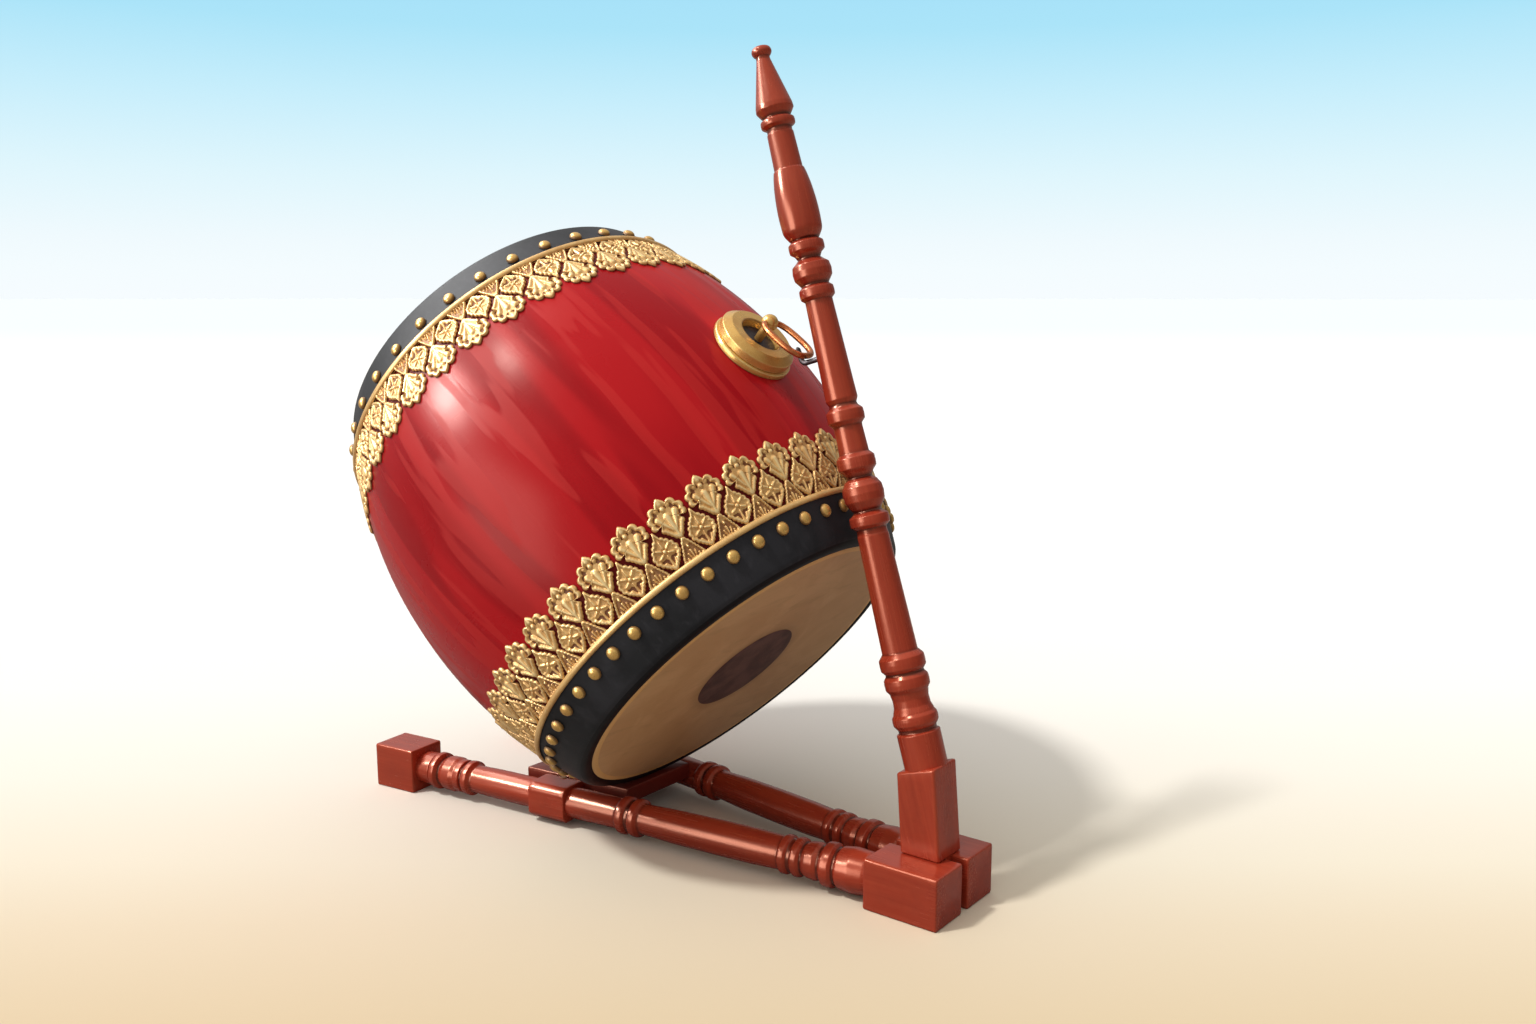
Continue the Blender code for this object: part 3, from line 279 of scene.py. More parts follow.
class Tree:
    """Short calls for building a node tree."""

    def __init__(self, tree, material=None):
        self.tree, self.material = tree, material

    def feed(self, socket, value):
        """Link a socket, or set it to a plain value."""
        if isinstance(value, bpy.types.NodeSocket):
            self.tree.links.new(value, socket)
        else:
            socket.default_value = value

    def add(self, kind, inputs=(), **settings):
        """A node of a kind, its settings, and its inputs by name or number."""
        node = self.tree.nodes.new("ShaderNode" + kind)
        for key, value in settings.items():
            setattr(node, key, value)
        for key, value in dict(inputs).items():
            self.feed(node.inputs[key], value)
        return node

    def math(self, operation, first, second=0.0, third=0.0):
        return self.add("Math", {0: first, 1: second, 2: third}, operation=operation).outputs[0]

    def times(self, first, second):
        return self.math("MULTIPLY", first, second)

    def scaled(self, value, scale, start):
        return self.math("MULTIPLY_ADD", value, scale, start)

    def vector(self, operation, first, second):
        return self.add("VectorMath", {0: first, 1: second}, operation=operation).outputs

    def noise(self, vector, scale, detail=3.0, rough=0.5, bend=0.0):
        return self.add("TexNoise", {"Vector": vector, "Scale": scale, "Detail": detail,
                                     "Roughness": rough, "Distortion": bend}).outputs["Fac"]

    def ramp(self, value, stops):
        """A colour by steps of (place, screen colour)."""
        node = self.add("ValToRGB", {"Fac": value})
        band = node.color_ramp
        while len(band.elements) < len(stops):
            band.elements.new(0.5)
        for element, (place, colour) in zip(band.elements, stops):
            element.position, element.color = place, linear(colour)
        return node.outputs["Color"]

    def mix(self, share, first, second):
        """The first colour, turned towards the second by the share."""
        node = self.add("Mix", data_type="RGBA")
        for key, value in ((0, share), (6, first), (7, second)):
            self.feed(node.inputs[key], linear(value) if isinstance(value, tuple) else value)
        return node.outputs[2]

    def over(self, base, mask, share, colour):
        """A colour laid over the base where the mask is, by a share."""
        return self.mix(self.times(mask, share), base, colour)

    def range(self, value, low, high, start=0.0, end=1.0):
        """The value carried smoothly from low to high onto start to end."""
        return self.add("MapRange", {
            "Value": value, "From Min": low, "From Max": high, "To Min": start, "To Max": end},
            clamp=True, interpolation_type="SMOOTHSTEP").outputs[0]

    def stretched(self, vector, scale):
        return self.vector("MULTIPLY", vector, scale)[0]

    def local(self):
        return self.add("Attribute", attribute_name="local").outputs["Vector"]

    def value(self, name):
        return self.add("Attribute", attribute_name=name).outputs["Fac"]

    def group(self, group, inputs):
        return self.add("Group", inputs, node_tree=group).outputs


def shader_group(name, inputs, outputs):
    """A node group of a vector, numbers by name, and number outputs, with its tree and ends."""
    tree = bpy.data.node_groups.new(name, "ShaderNodeTree")
    tree.interface.new_socket("Vector", in_out="INPUT", socket_type="NodeSocketVector")
    for label, value in inputs.items():
        socket = tree.interface.new_socket(label, in_out="INPUT", socket_type="NodeSocketFloat")
        socket.default_value = value
    for label in outputs:
        tree.interface.new_socket(label, in_out="OUTPUT", socket_type="NodeSocketFloat")
    given = tree.nodes.new("NodeGroupInput").outputs
    return Tree(tree), given, tree.nodes.new("NodeGroupOutput").inputs


def grain_group():
    """Wood grain along local Z: long fibres and wider bands as masks, and a height."""
    t, given, result = shader_group("wood_grain", {"Fibre": 260.0, "Stretch": 0.035},
                                    ("Bands", "Fibres", "Height"))
    lengths = t.add("CombineXYZ", {"X": 1.0, "Y": 1.0, "Z": given["Stretch"]}).outputs[0]
    along = t.stretched(given["Vector"], lengths)
    fibres = t.noise(along, given["Fibre"], 4.0, 0.62)
    bands = t.noise(along, t.times(given["Fibre"], 0.16), 2.0, 0.45, 0.6)
    t.feed(result["Bands"], t.range(bands, 0.35, 0.65))
    t.feed(result["Fibres"], t.range(fibres, 0.35, 0.68))
    t.feed(result["Height"], fibres)
    return t.tree


def wear_and_shade_group():
    """Masks from the edge value, broken up by a fine noise: worn edges with painted highlight on
    crests, and painted shade in grooves.
    """
    t, given, result = shader_group("edge_wear_and_shade", {"Edge": 0.0, "Scale": 90.0},
                                    ("WearAndHighlight", "GrooveShadeAndDirt"))
    fleck = t.noise(given["Vector"], given["Scale"], 4.0, 0.6)
    t.feed(result["WearAndHighlight"], t.range(t.scaled(fleck, 0.5, given["Edge"]), 0.62, 1.0))
    groove = t.scaled(fleck, 0.25, t.times(given["Edge"], -1.0))
    t.feed(result["GrooveShadeAndDirt"], t.range(groove, 0.25, 0.75))
    return t.tree


def smudge_group():
    """Soft smudges over a surface, as a mask."""
    t, given, result = shader_group("smudges", {"Scale": 9.0}, ("Mask",))
    cloud = t.noise(given["Vector"], given["Scale"], 5.0, 0.6, 0.4)
    t.feed(result["Mask"], t.range(cloud, 0.38, 0.66))
    return t.tree


GRAIN, WEAR_AND_SHADE, SMUDGE = grain_group(), wear_and_shade_group(), smudge_group()


def wear_and_shade_masks(t, scale):
    """Wear and painted light over the surface at a scale: a mask of wear and painted highlight,
    and one of painted shade in grooves.
    """
    return t.group(WEAR_AND_SHADE, {"Vector": t.local(), "Edge": t.value("edge"), "Scale": scale})


def smudge(t, scale):
    """A mask of soft smudges over the surface at a scale."""
    return t.group(SMUDGE, {"Vector": t.local(), "Scale": scale})["Mask"]


def grain(t, fibre, stretch):
    """Grain along the surface's own length: Bands, Fibres and Height."""
    return t.group(GRAIN, {"Vector": t.local(), "Fibre": fibre, "Stretch": stretch})


def finish(t, colour, rough, metal=0.0, height=None, depth=0.1, reach=0.0005, specular=0.5,
           tint=(1.0, 1.0, 1.0), index=1.45):
    """Close a material: its shader from sockets or plain values, and its bump."""
    shader = t.material.node_tree.nodes["Principled BSDF"].inputs
    for key, value in (("Base Color", colour), ("Roughness", rough), ("Metallic", metal),
                       ("Specular IOR Level", specular), ("Specular Tint", (*tint, 1.0)),
                       ("IOR", index)):
        t.feed(shader[key], value)
    if height is not None:
        bump = t.add("Bump", {"Strength": depth, "Distance": reach, "Height": height})
        t.feed(shader["Normal"], bump.outputs[0])
    return t.material


def start(name):
    """The tree of a new material."""
    material = bpy.data.materials.new(name)
    material.use_nodes = True
    return Tree(material.node_tree, material)


def lacquer():
    """Deep red lacquer: long brushed streaks along the barrel, and painted shade as a dark band
    under the leaf rows.
    """
    t = start("red_lacquer")
    local = t.local()
    parts = t.add("SeparateXYZ", {0: local}).outputs
    turn = t.math("ARCTAN2", parts["Y"], parts["X"])
    skew = t.scaled(parts["Z"], 0.35, turn)
    flat = t.add("CombineXYZ", {
        "X": t.times(t.math("SINE", skew), 0.28),
        "Y": t.times(t.math("COSINE", skew), 0.28),
        "Z": t.times(parts["Z"], 0.10)}).outputs[0]
    broad = t.range(t.noise(flat, 16.0, 1.5, 0.45, 0.3), 0.46, 0.55)
    streak = t.range(t.noise(flat, 46.0, 2.0, 0.5, 0.2), 0.52, 0.57)
    fine = t.noise(flat, 420.0, 3.0, 0.6)
    base = t.mix(broad, (166, 14, 24), (190, 24, 31))
    base = t.over(base, streak, 0.34, (212, 50, 46))
    base = t.over(base, t.range(fine, 0.55, 0.75), 0.06, (205, 60, 52))
    # Painted shade: a dark maroon band near each end, under and between the leaf rows.
    from_end = t.math("MINIMUM", parts["Z"], t.math("SUBTRACT", BARREL_LENGTH, parts["Z"]))
    under = t.range(from_end, 0.094, 0.112, 1.0, 0.0)
    base = t.over(base, under, 0.85, (84, 24, 22))
    rough = t.scaled(streak, 0.12, t.scaled(smudge(t, 7.0), 0.06, 0.26))
    height = t.scaled(streak, 0.6, fine)
    return finish(t, base, rough, height=height, depth=0.12, reach=0.0004, specular=0.18,
                  tint=(1.0, 0.55, 0.45))


def stained_wood(name, dark, mid, light, groove_shade, rough=0.20, specular=0.80):
    """Stained and varnished wood: grain along local Z, painted shade in grooves and rubbed edges.
    """
    t = start(name)
    fibre, worn_and_shaded, dull = grain(t, 300.0, 0.04), wear_and_shade_masks(t, 120.0), smudge(t, 14.0)
    base = t.mix(t.scaled(fibre["Bands"], 0.40, 0.60), dark, mid)
    base = t.over(base, fibre["Fibres"], 0.13, light)
    base = t.over(base, dull, 0.16, dark)
    # Painted shade: the groove colour laid into the turning's grooves and hollows.
    base = t.over(base, worn_and_shaded["GrooveShadeAndDirt"], 0.85, groove_shade)
    base = t.over(base, worn_and_shaded["WearAndHighlight"], 0.16, light)
    rough = t.scaled(dull, 0.06, t.scaled(fibre["Fibres"], 0.05, rough))
    return finish(t, base, rough, height=fibre["Height"], depth=0.012, reach=0.0004,
                  specular=specular, tint=(1.0, 0.46, 0.30), index=1.6)


def raw_wood():
    """Bare end-grain wood of pegs and dowels."""
    t = start("bare_wood")
    fibre = grain(t, 500.0, 0.05)
    base = t.mix(fibre["Fibres"], (150, 112, 72), (196, 160, 112))
    return finish(t, base, 0.6, height=fibre["Height"], depth=0.2)


def metal(name, dark, mid, bright, rough, amount=1.0, grit=400.0, hollow_shade=None, depth=0.03):
    """Brass, gilt, copper or iron: smudged tarnish, painted shade in hollows where the metal is
    also duller, brighter rubbed edges with painted highlight on crests, fine scratches.
    """
    t = start(name)
    worn_and_shaded, tarnish, fine = wear_and_shade_masks(t, 160.0), smudge(t, 34.0), t.noise(t.local(), grit, 3.0, 0.6)
    base = t.over(t.mix(tarnish, mid, dark), t.range(fine, 0.45, 0.7), 0.18, bright)
    base = t.over(base, worn_and_shaded["WearAndHighlight"], 0.55, bright)
    # Painted shade: the hollow colour, or the dark one, laid into grooves and hollows.
    base = t.over(base, worn_and_shaded["GrooveShadeAndDirt"], 0.9, hollow_shade or dark)
    rough = t.scaled(worn_and_shaded["GrooveShadeAndDirt"], 0.25, t.scaled(tarnish, 0.12, rough))
    shine = t.scaled(worn_and_shaded["GrooveShadeAndDirt"], -0.7 * amount, amount)
    return finish(t, base, rough, shine, height=fine, depth=depth, reach=0.0003)


def hide():
    """Scraped hide: soft cloudy tan with a fine grain, and a painted highlight as a pale ring
    round the edge of its face.
    """
    t = start("scraped_hide")
    local = t.local()
    parts = t.add("SeparateXYZ", {0: local}).outputs
    radius = t.math("SQRT", t.math("ADD", t.times(parts["X"], parts["X"]),
                                   t.times(parts["Y"], parts["Y"])))
    cloud = t.noise(local, 11.0, 4.0, 0.6, 0.8)
    pores = t.noise(local, 520.0, 3.0, 0.65)
    veins = t.noise(t.stretched(local, (1.0, 0.25, 1.0)), 46.0, 4.0, 0.6, 1.2)
    base = t.mix(t.range(cloud, 0.36, 0.66), (214, 164, 111), (227, 179, 124))
    base = t.over(base, t.range(veins, 0.52, 0.72), 0.20, (166, 122, 80))
    base = t.over(base, t.range(pores, 0.50, 0.72), 0.14, (222, 184, 136))
    near_patch = t.range(radius, PATCH_RADIUS, PATCH_RADIUS + 0.018, 0.30, 0.0)
    base = t.mix(near_patch, base, (150, 108, 70))
    # Painted highlight: a pale ring round the face's outer edge, where its bevel catches the
    # light.
    base = t.mix(t.range(radius, 0.2040, 0.2052, 0.0, 0.9), base, (244, 190, 118))
    return finish(t, base, 0.52, height=t.scaled(veins, 0.5, pores), depth=0.18, reach=0.0004)


def black_hide():
    """Blackened hide: charcoal with rubbed grey bands and pores, and painted shade, near black, in
    its grooves.
    """
    t = start("black_hide")
    local = t.local()
    cloud = t.noise(local, 9.0, 4.0, 0.55, 0.5)
    pores = t.noise(local, 640.0, 2.0, 0.5)
    creases = t.noise(t.stretched(local, (1.0, 1.0, 0.2)), 120.0, 3.0, 0.6, 0.4)
    base = t.mix(t.range(cloud, 0.42, 0.58), (34, 34, 36), (48, 47, 50))
    base = t.over(base, t.range(creases, 0.5, 0.75), 0.22, (72, 70, 74))
    # Painted shade: near black where the edge value marks a groove.
    base = t.over(base, wear_and_shade_masks(t, 60.0)["GrooveShadeAndDirt"], 0.9, (14, 13, 14))
    return finish(t, base, t.scaled(cloud, 0.15, 0.44), height=t.scaled(creases, 0.7, pores),
                  depth=0.12, reach=0.0005, specular=0.22)


def paste():
    """Tuning paste: dark brown, grainy, thinner and cracked towards its rim."""
    t = start("tuning_paste")
    local = t.local()
    lumps = t.noise(local, 130.0, 5.0, 0.65, 0.5)
    cloud = t.noise(local, 26.0, 3.0, 0.5)
    base = t.mix(t.range(cloud, 0.35, 0.65), (90, 62, 55), (116, 82, 73))
    base = t.over(base, t.range(lumps, 0.5, 0.7), 0.30, (124, 90, 76))
    return finish(t, base, 0.72, height=lumps, depth=0.35, reach=0.0008)


FINISH = {
    "lacquered_barrel": lacquer(),
    "hide": hide(),
    "black_hide": black_hide(),
    "patch_paste": paste(),
    "gilt": metal("gilt_relief", (214, 162, 94), (236, 188, 116), (255, 236, 176),
                  0.34, 0.28, 520.0, (124, 62, 28)),
    "brass": metal("brass", (208, 158, 82), (226, 178, 96), (255, 232, 164),
                   0.24, 0.50, 700.0, (122, 82, 40), 0.010),
    "copper": metal("copper", (164, 88, 46), (208, 124, 72), (250, 190, 136),
                    0.20, 0.75, 700.0),
    "dark_iron": metal("dark_iron", (46, 42, 44), (70, 64, 66), (120, 110, 106),
                       0.42, 0.7, 600.0),
    "stained_wood": stained_wood("stained_wood", (138, 42, 28), (172, 58, 36),
                                 (208, 92, 58), (56, 15, 13)),
    "dark_stained_wood": stained_wood("dark_stained_wood", (92, 28, 23), (114, 36, 27),
                                      (144, 56, 40), (40, 14, 14), 0.30, 0.6),
    "raw_wood": raw_wood(),
}


# Barrel, hides and trim

def skirt_radius(inset):
    """Outer radius of the black skirt: the solid's, less what its flats cut off."""
    return barrel_radius(inset) + GAP + HIDE_THICKNESS - SKIRT_FLATS


def lip(offset, steps=12):
    """The rounded edge, inside its outer face by offset, from the head inwards to the side."""
    end_inset = LIP_RADIUS * (1 - sin(LIP_END))
    centre = skirt_radius(end_inset) - LIP_RADIUS * cos(LIP_END)
    angle = spaced(pi / 2, LIP_END, steps)
    reach = LIP_RADIUS - offset
    return beside(LIP_RADIUS - reach * np.sin(angle), centre + reach * np.cos(angle))


def sides(low, high, lift, steps):
    """(inset, radius) along the barrel's side, lifted off it."""
    inset = spaced(low, high, steps)
    return beside(inset, barrel_radius(inset) + lift)


def make_shell():
    """The barrel: its curved side as radius(inset), the bore parallel to it, open ends."""
    start_inset = GAP + HIDE_THICKNESS
    edge = lip(start_inset)
    outer = join([edge, sides(edge[-1, 0] + 0.003, BARREL_LENGTH / 2, 0.0, 60)])
    other = outer[::-1][1:] * [-1, 1] + [BARREL_LENGTH, 0]
    bore = sides(BARREL_LENGTH - start_inset, start_inset, -SHELL_WALL, 40)
    turned("barrel", join([outer, other, bore]), 256, DRUM, "drum", "lacquered_barrel",
           ["drum_shell"], closed=True)


def make_head(end, place):
    """One end: hide, skirt, patch, hoop, studs and the three leaf rows."""
    matrix = DRUM @ place
    rows = sides(0.012, SKIRT_DEPTH, 0.0, 12)
    face = FACE_RADIUS - GAP
    profile = join([
        [[HIDE_THICKNESS, 0.0005]], lip(HIDE_THICKNESS), rows + [0, GAP],
        rows[::-1] + [0, HIDE_THICKNESS - SKIRT_THICKNESS], lip(SKIRT_THICKNESS + GAP)[::-1],
        [[SKIRT_THICKNESS + GAP, face], [0.0009, face], [0.0003, face - 0.0010]],
        beside(0.0, spaced(face - 0.004, 0.0, 20)[:-1])])
    turned(end + "_hide_skin", profile, 200, matrix, "drum", "hide", [end + "_hide"])

    outer = join([lip(0.0, 16), rows + [0, GAP + HIDE_THICKNESS - SKIRT_FLATS]])
    profile = join([
        outer[::-1], [[0.0, FACE_RADIUS + 0.0010], [0.0004, FACE_RADIUS + 0.0002],
                      [SKIRT_THICKNESS, FACE_RADIUS]],
        lip(SKIRT_THICKNESS), rows + [0, GAP + HIDE_THICKNESS - SKIRT_THICKNESS]])
    edge = np.zeros(len(profile))
    # Painted shade: the roll next to the hide's face is marked as a groove, so it is painted near
    # black.
    edge[len(outer) - 9:len(outer) + 3] = -0.8
    turned(end + "_skirt_skin", profile, 200, matrix, "drum", "black_hide", [end + "_skirt"],
           True, edge)

    share = spaced(0, 1, 24)
    rise = PATCH_RISE * (1 - share ** 6) ** 0.5
    patch = join([[[-GAP, 0.0005]], beside(-GAP - rise, PATCH_RADIUS * share)])
    turned(end + "_patch_paste", patch, 120, matrix, "drum", "patch_paste", [end + "_patch"])

    make_hoop(end, matrix)
    make_studs(end, matrix, *STUD_ROWS[end])
    make_leaves(end, matrix)


def make_hoop(end, matrix):
    """The hoop: a band over the skirt's edge, its section half a superellipse."""
    middle, half = (HOOP_LOW + HOOP_HIGH) / 2, (HOOP_HIGH - HOOP_LOW) / 2
    base = skirt_radius(middle) + GAP
    angle = spaced(0, pi, 13)
    rise = HOOP_RISE * np.sin(angle) ** 0.6
    profile = beside(middle + half * np.cos(angle), base + rise)
    profile = join([profile, [[HOOP_LOW, base - 0.0002], [HOOP_HIGH, base - 0.0002]]])
    # Edge values: wear and painted highlight on the crest, painted shade along the band's feet and
    # underside.
    edge = join([0.9 * (rise / HOOP_RISE) ** 3 - 0.4, [-0.6, -0.6]])
    turned(end + "_hoop_band", profile, 256, matrix, "drum", "gilt", [end + "_hoop"], True, edge)


def laid(points, faces, angle, inset, lift):
    """Copies of a shape of (across, along, out), laid on the barrel at angles round it."""
    spot, step = inset + points[:, 1], 0.0005
    slope = np.arctan2(barrel_radius(spot + step) - barrel_radius(spot - step), 2 * step)
    out = points[:, 2] + lift
    turn = angle[:, None] + points[:, 0] / barrel_radius(spot)
    around = around_z(barrel_radius(spot) + out * np.cos(slope), turn, spot - out * np.sin(slope))
    shift = (np.arange(len(angle)) * len(points))[:, None, None]
    return around.reshape(-1, 3), [(face + shift).reshape(-1, face.shape[1]) for face in faces]


def make_studs(end, matrix, count, shift):
    """Domed nails: a rounded cap over a thin rim, each seated square to the skirt."""
    share = spaced(0.04, 1, 9)
    rise = STUD_RISE * np.sqrt(1 - (share * 0.97) ** 2.2)
    profile = beside(np.append(rise, 0.0001), STUD_RADIUS * np.append(share, 1))
    points, faces = laid(*loft(lathe_rings(profile, STUD_SIDES)), turns(count, shift),
                         STUD_INSET, GAP + HIDE_THICKNESS + 0.0001)
    # Edge values: the cap much as it is, and painted shade in a dark ring round its foot.
    edge = np.repeat(0.3 - 0.9 * np.append(share, 1.25) ** 2, STUD_SIDES)
    solid(end + "_nails", points, faces, matrix, "drum", "brass", [end + "_studs"],
          np.tile(join([edge, [0.3, -0.5]]), count))


# Lobes of a leaf's outline, right half: (across, along, radius) in hundredths of its unit
FAN_LOBES = [
    (0, 160, 30), (0, 178, 18), (0, 191, 8), (0, 197, 3), (50, 150, 25), (79, 123, 20),
    (80, 94, 17), (52, 62, 13), (38, 47, 12), (26, 32, 12), (15, 17, 12), (0, 6, 14), (0, 110, 60)]
FLAME_LOBES = [
    (0, 230, 20), (0, 252, 12), (0, 268, 7), (0, 280, 3.5), (25, 206, 19), (49, 184, 18),
    (68, 157, 19), (80, 126, 20), (78, 95, 18), (60, 70, 17), (42, 50, 15), (26, 32, 14),
    (0, 20, 22), (0, 130, 75)]
PEAK_LOBES = [
    (0, 160, 21), (17, 135, 20), (31, 109, 19), (44, 83, 19), (57, 57, 19), (70, 31, 19),
    (81, 10, 17), (45, 10, 20), (0, 10, 20), (0, 60, 42)]

# Its raised strokes: foot (across, along), tip, width at the foot and tip, height
FAN_STROKES = [
    (0, 10, 0, 106, 8, 21, 95), (8, 42, 48, 112, 7, 18, 90), (12, 22, 46, 58, 6, 13, 76),
    (0, 144, 0, 144, 15, 15, 100), (0, 170, 0, 184, 20, 11, 92), (30, 150, 34, 152, 12, 12, 72)]
FLAME_STROKES = [
    (0, 132, 0, 132, 17, 17, 100), (0, 158, 0, 200, 14, 8, 86), (22, 146, 46, 162, 12, 11, 88),
    (22, 118, 50, 106, 12, 11, 88), (0, 10, 0, 102, 13, 7, 82), (14, 25, 36, 66, 6, 10, 74)]
PEAK_STROKES = [
    (0, 98, 0, 102, 12, 12, 100), (0, 5, 0, 68, 6, 11, 86), (17, 5, 29, 50, 5, 9, 80),
    (40, 5, 50, 24, 5, 8, 70)]

# Each kind of leaf. Pierced is the sunk band: from and to along the leaf, from which share of
# the way to the rim, and the ground's height there. Size: a unit across and along, and the height
LEAVES = {
    "peak": dict(lobes=PEAK_LOBES, strokes=PEAK_STROKES, centre=0.60, pierced=(0, 1.16, 0, 0.29),
                 size=(0.0135, 0.0135, 0.0040), inset=0.0562, shift=0.5, rows=18, columns=92,
                 node="_root_leaves"),
    "flame": dict(lobes=FLAME_LOBES, strokes=FLAME_STROKES, centre=1.25,
                  pierced=(0.25, 0.90, 0.40, 0.14), size=(0.0158, 0.0158, 0.0040), inset=0.0570,
                  shift=0.0, rows=20, columns=100, node="_diamond_leaves"),
    "fan": dict(lobes=FAN_LOBES, strokes=FAN_STROKES, centre=1.10,
                pierced=(0.80, 1.52, 0.50, 0.14), size=(0.0217, 0.0230, 0.0040), inset=0.0800,
                shift=0.5, rows=20, columns=108, node="_fan_leaves")}


def outline_of(lobes, centre, columns):
    """The outline's distance from the centre at each angle: the furthest lobe met by the ray."""
    angle = turns(columns, 0.5)
    ray = beside(np.sin(angle), np.cos(angle))
    circles = np.array(lobes + [(-across, along, size) for across, along, size in lobes
                                if across > 0]) / 100
    spot = circles[:, :2] - [0.0, centre]
    along = ray @ spot.T
    inside = circles[:, 2] ** 2 - (spot ** 2).sum(axis=1) + along ** 2
    reach = np.where(inside > 0, along + np.sqrt(np.maximum(inside, 0)), 0.0)
    return ray, reach.max(axis=1)


def stroke_height(x, y, stroke):
    """A rounded stroke: half a superellipse across a segment whose width runs foot to tip."""
    foot, tip, (thin, thick, height) = np.split(np.array(stroke) / 100, [2, 4])
    direction = tip - foot
    length = max(float(direction @ direction), 1e-9)
    share = np.clip(((x - foot[0]) * direction[0] + (y - foot[1]) * direction[1]) / length, 0, 1)
    away = np.hypot(x - foot[0] - share * direction[0], y - foot[1] - share * direction[1])
    width = thin + (thick - thin) * share
    return height * np.sqrt(np.clip(1 - (away / width) ** 2, 0, 1))


RIM_HEIGHT, RIM_PLACE, RIM_WIDTH, GROUND_HEIGHT = 0.88, 0.86, 0.15, 0.42


def relief(x, y, share, strokes, pierced):
    """Height over the leaf's back, 0 to 1: a rolled rim, a sunk ground and raised strokes.

    The ground is deepest in the pierced band, where painted shade shows dark between rim and
    strokes.
    """
    across = np.abs(x)
    rim = RIM_HEIGHT * np.sqrt(np.clip(1 - ((share - RIM_PLACE) / RIM_WIDTH) ** 2, 0, 1))
    low, high, near_rim, depth = pierced
    ground = np.where((y > low) & (y < high) & (share > near_rim), depth, GROUND_HEIGHT)
    height = np.maximum(rim, ground)
    for stroke in strokes:
        height = np.maximum(height, stroke_height(across, y, stroke))
    return height


def leaf(kind):
    """One leaf: rings between its centre and its lobed outline, raised by the relief."""
    columns = kind["columns"]
    ray, reach = outline_of(kind["lobes"], kind["centre"], columns)
    share = spaced(0.02, 1, kind["rows"])[:, None]
    ring = [0.0, kind["centre"]] + ray[None] * (share * reach[None])[..., None]
    shares = np.broadcast_to(share, ring.shape[:2])
    height = relief(ring[..., 0], ring[..., 1], shares, kind["strokes"], kind["pierced"])
    height[-1] = 0.30
    rings = join([ring, height[..., None]], axis=-1)
    points, faces = loft(join([rings, rings[-1:] * [1, 1, 0]]))
    # Edge values from the height: painted shade on the low ground and in the pierced band, wear
    # and painted highlight on the raised rim and strokes.
    edge = join([height, np.full((1, columns), -0.2)]) * 1.9 - 1.05
    return points * kind["size"], faces, join([edge.ravel(), [edge[0].mean(), -1.0]])


def make_leaves(end, matrix):
    """The three gilt rows: peaked leaves on the hoop, flames between them, fans above."""
    for name, kind in LEAVES.items():
        points, faces, edge = leaf(kind)
        points, faces = laid(points, faces, turns(LEAF_COUNT, kind["shift"]), kind["inset"], GAP)
        solid(f"{end}_{name}_relief", points, faces, matrix, "drum", "gilt",
              [end + kind["node"]], np.tile(edge, LEAF_COUNT), sharp=60.0)


# Boss, bolt and ring

def make_boss():
    """The stepped boss: a flange laid on the barrel, a bevelled ring, an inlay and the bolt."""
    steps, top, hole = 96, 0.0034, BOLT_RADIUS + GAP
    angle = turns(steps)

    def ground(radius):
        """Height of the barrel's side under a circle round the boss's axis."""
        x, y = radius * np.cos(angle), radius * np.sin(angle)
        wide = barrel_radius(BOSS_INSET - x)
        return np.sqrt(wide ** 2 - y ** 2) - barrel_radius(BOSS_INSET)

    level = [(0.0440, top), (0.0472, top), (0.0482, 0.0031), (0.0490, 0.0024), (0.0493, 0.0014)]
    fitted = [(0.0493, 0.0004), (0.0489, GAP), (0.0300, GAP), (hole, GAP)]
    rings = level + [(radius, ground(radius) + lift) for radius, lift in fitted] + [(hole, top)]
    points, faces = loft(np.stack([
        around_z(radius, angle, height) for radius, height in rings]), closed=True)
    # Edge values: wear and painted highlight on the flange's rounded rim, painted shade on its
    # underside against the barrel.
    edge = np.repeat([0.1, 0.1, 0.5, 0.7, 0.4, -0.5, -0.6, -1, -1, -1], steps)
    solid("flange", points, faces, BOSS, "drum", "brass", ["boss_flange"], edge=edge)

    # The ring's edge values come from how proud each point stands: painted shade in its recesses,
    # wear and painted highlight on its crests.
    profile, edge = worked([[
        (10, hole / MM), (10, 22.2), (10.8, 22.8), (17.8, 24.6), (18.8, 24.9), (20, 25.8),
        (20, 38.2), (19.6, 38.8), (13.4, 46.1), (12.8, 46.5), (4.4, 46.5), (3.7, 45.8),
        (3.7, hole / MM)]], 0.0003, 0.8)
    turned("ring_of_boss", profile, steps, BOSS, "drum", "brass", ["boss_ring"], True, edge)
    low = 0.0103
    inlay = [(low + 0.0020, hole), (low + 0.0020, 0.0212), (low + 0.0016, 0.0219),
             (low, 0.0219), (low, hole)]
    turned("inlay", inlay, steps, BOSS, "drum", "dark_iron", ["boss_inlay"], closed=True)
    turn = spaced(0.03, pi - asin(BOLT_RADIUS / BALL_RADIUS), 30)
    ball = beside(BALL_HEIGHT + BALL_RADIUS * np.cos(turn), BALL_RADIUS * np.sin(turn))
    neck = ball[-1, 0]
    tail = [(neck - 0.0012, BOLT_RADIUS + 0.0001), (neck - 0.003, BOLT_RADIUS),
            (0.0128, BOLT_RADIUS), (0.0126, BOLT_RADIUS)]
    # Edge values: light wear on the ball, painted shade at its neck and on the bolt.
    turned("ball", join([ball, tail]), 48, BOSS, "drum", "brass",
           edge=join([np.full(30, 0.35), [-0.3, -0.3, -0.5, -0.5]]))


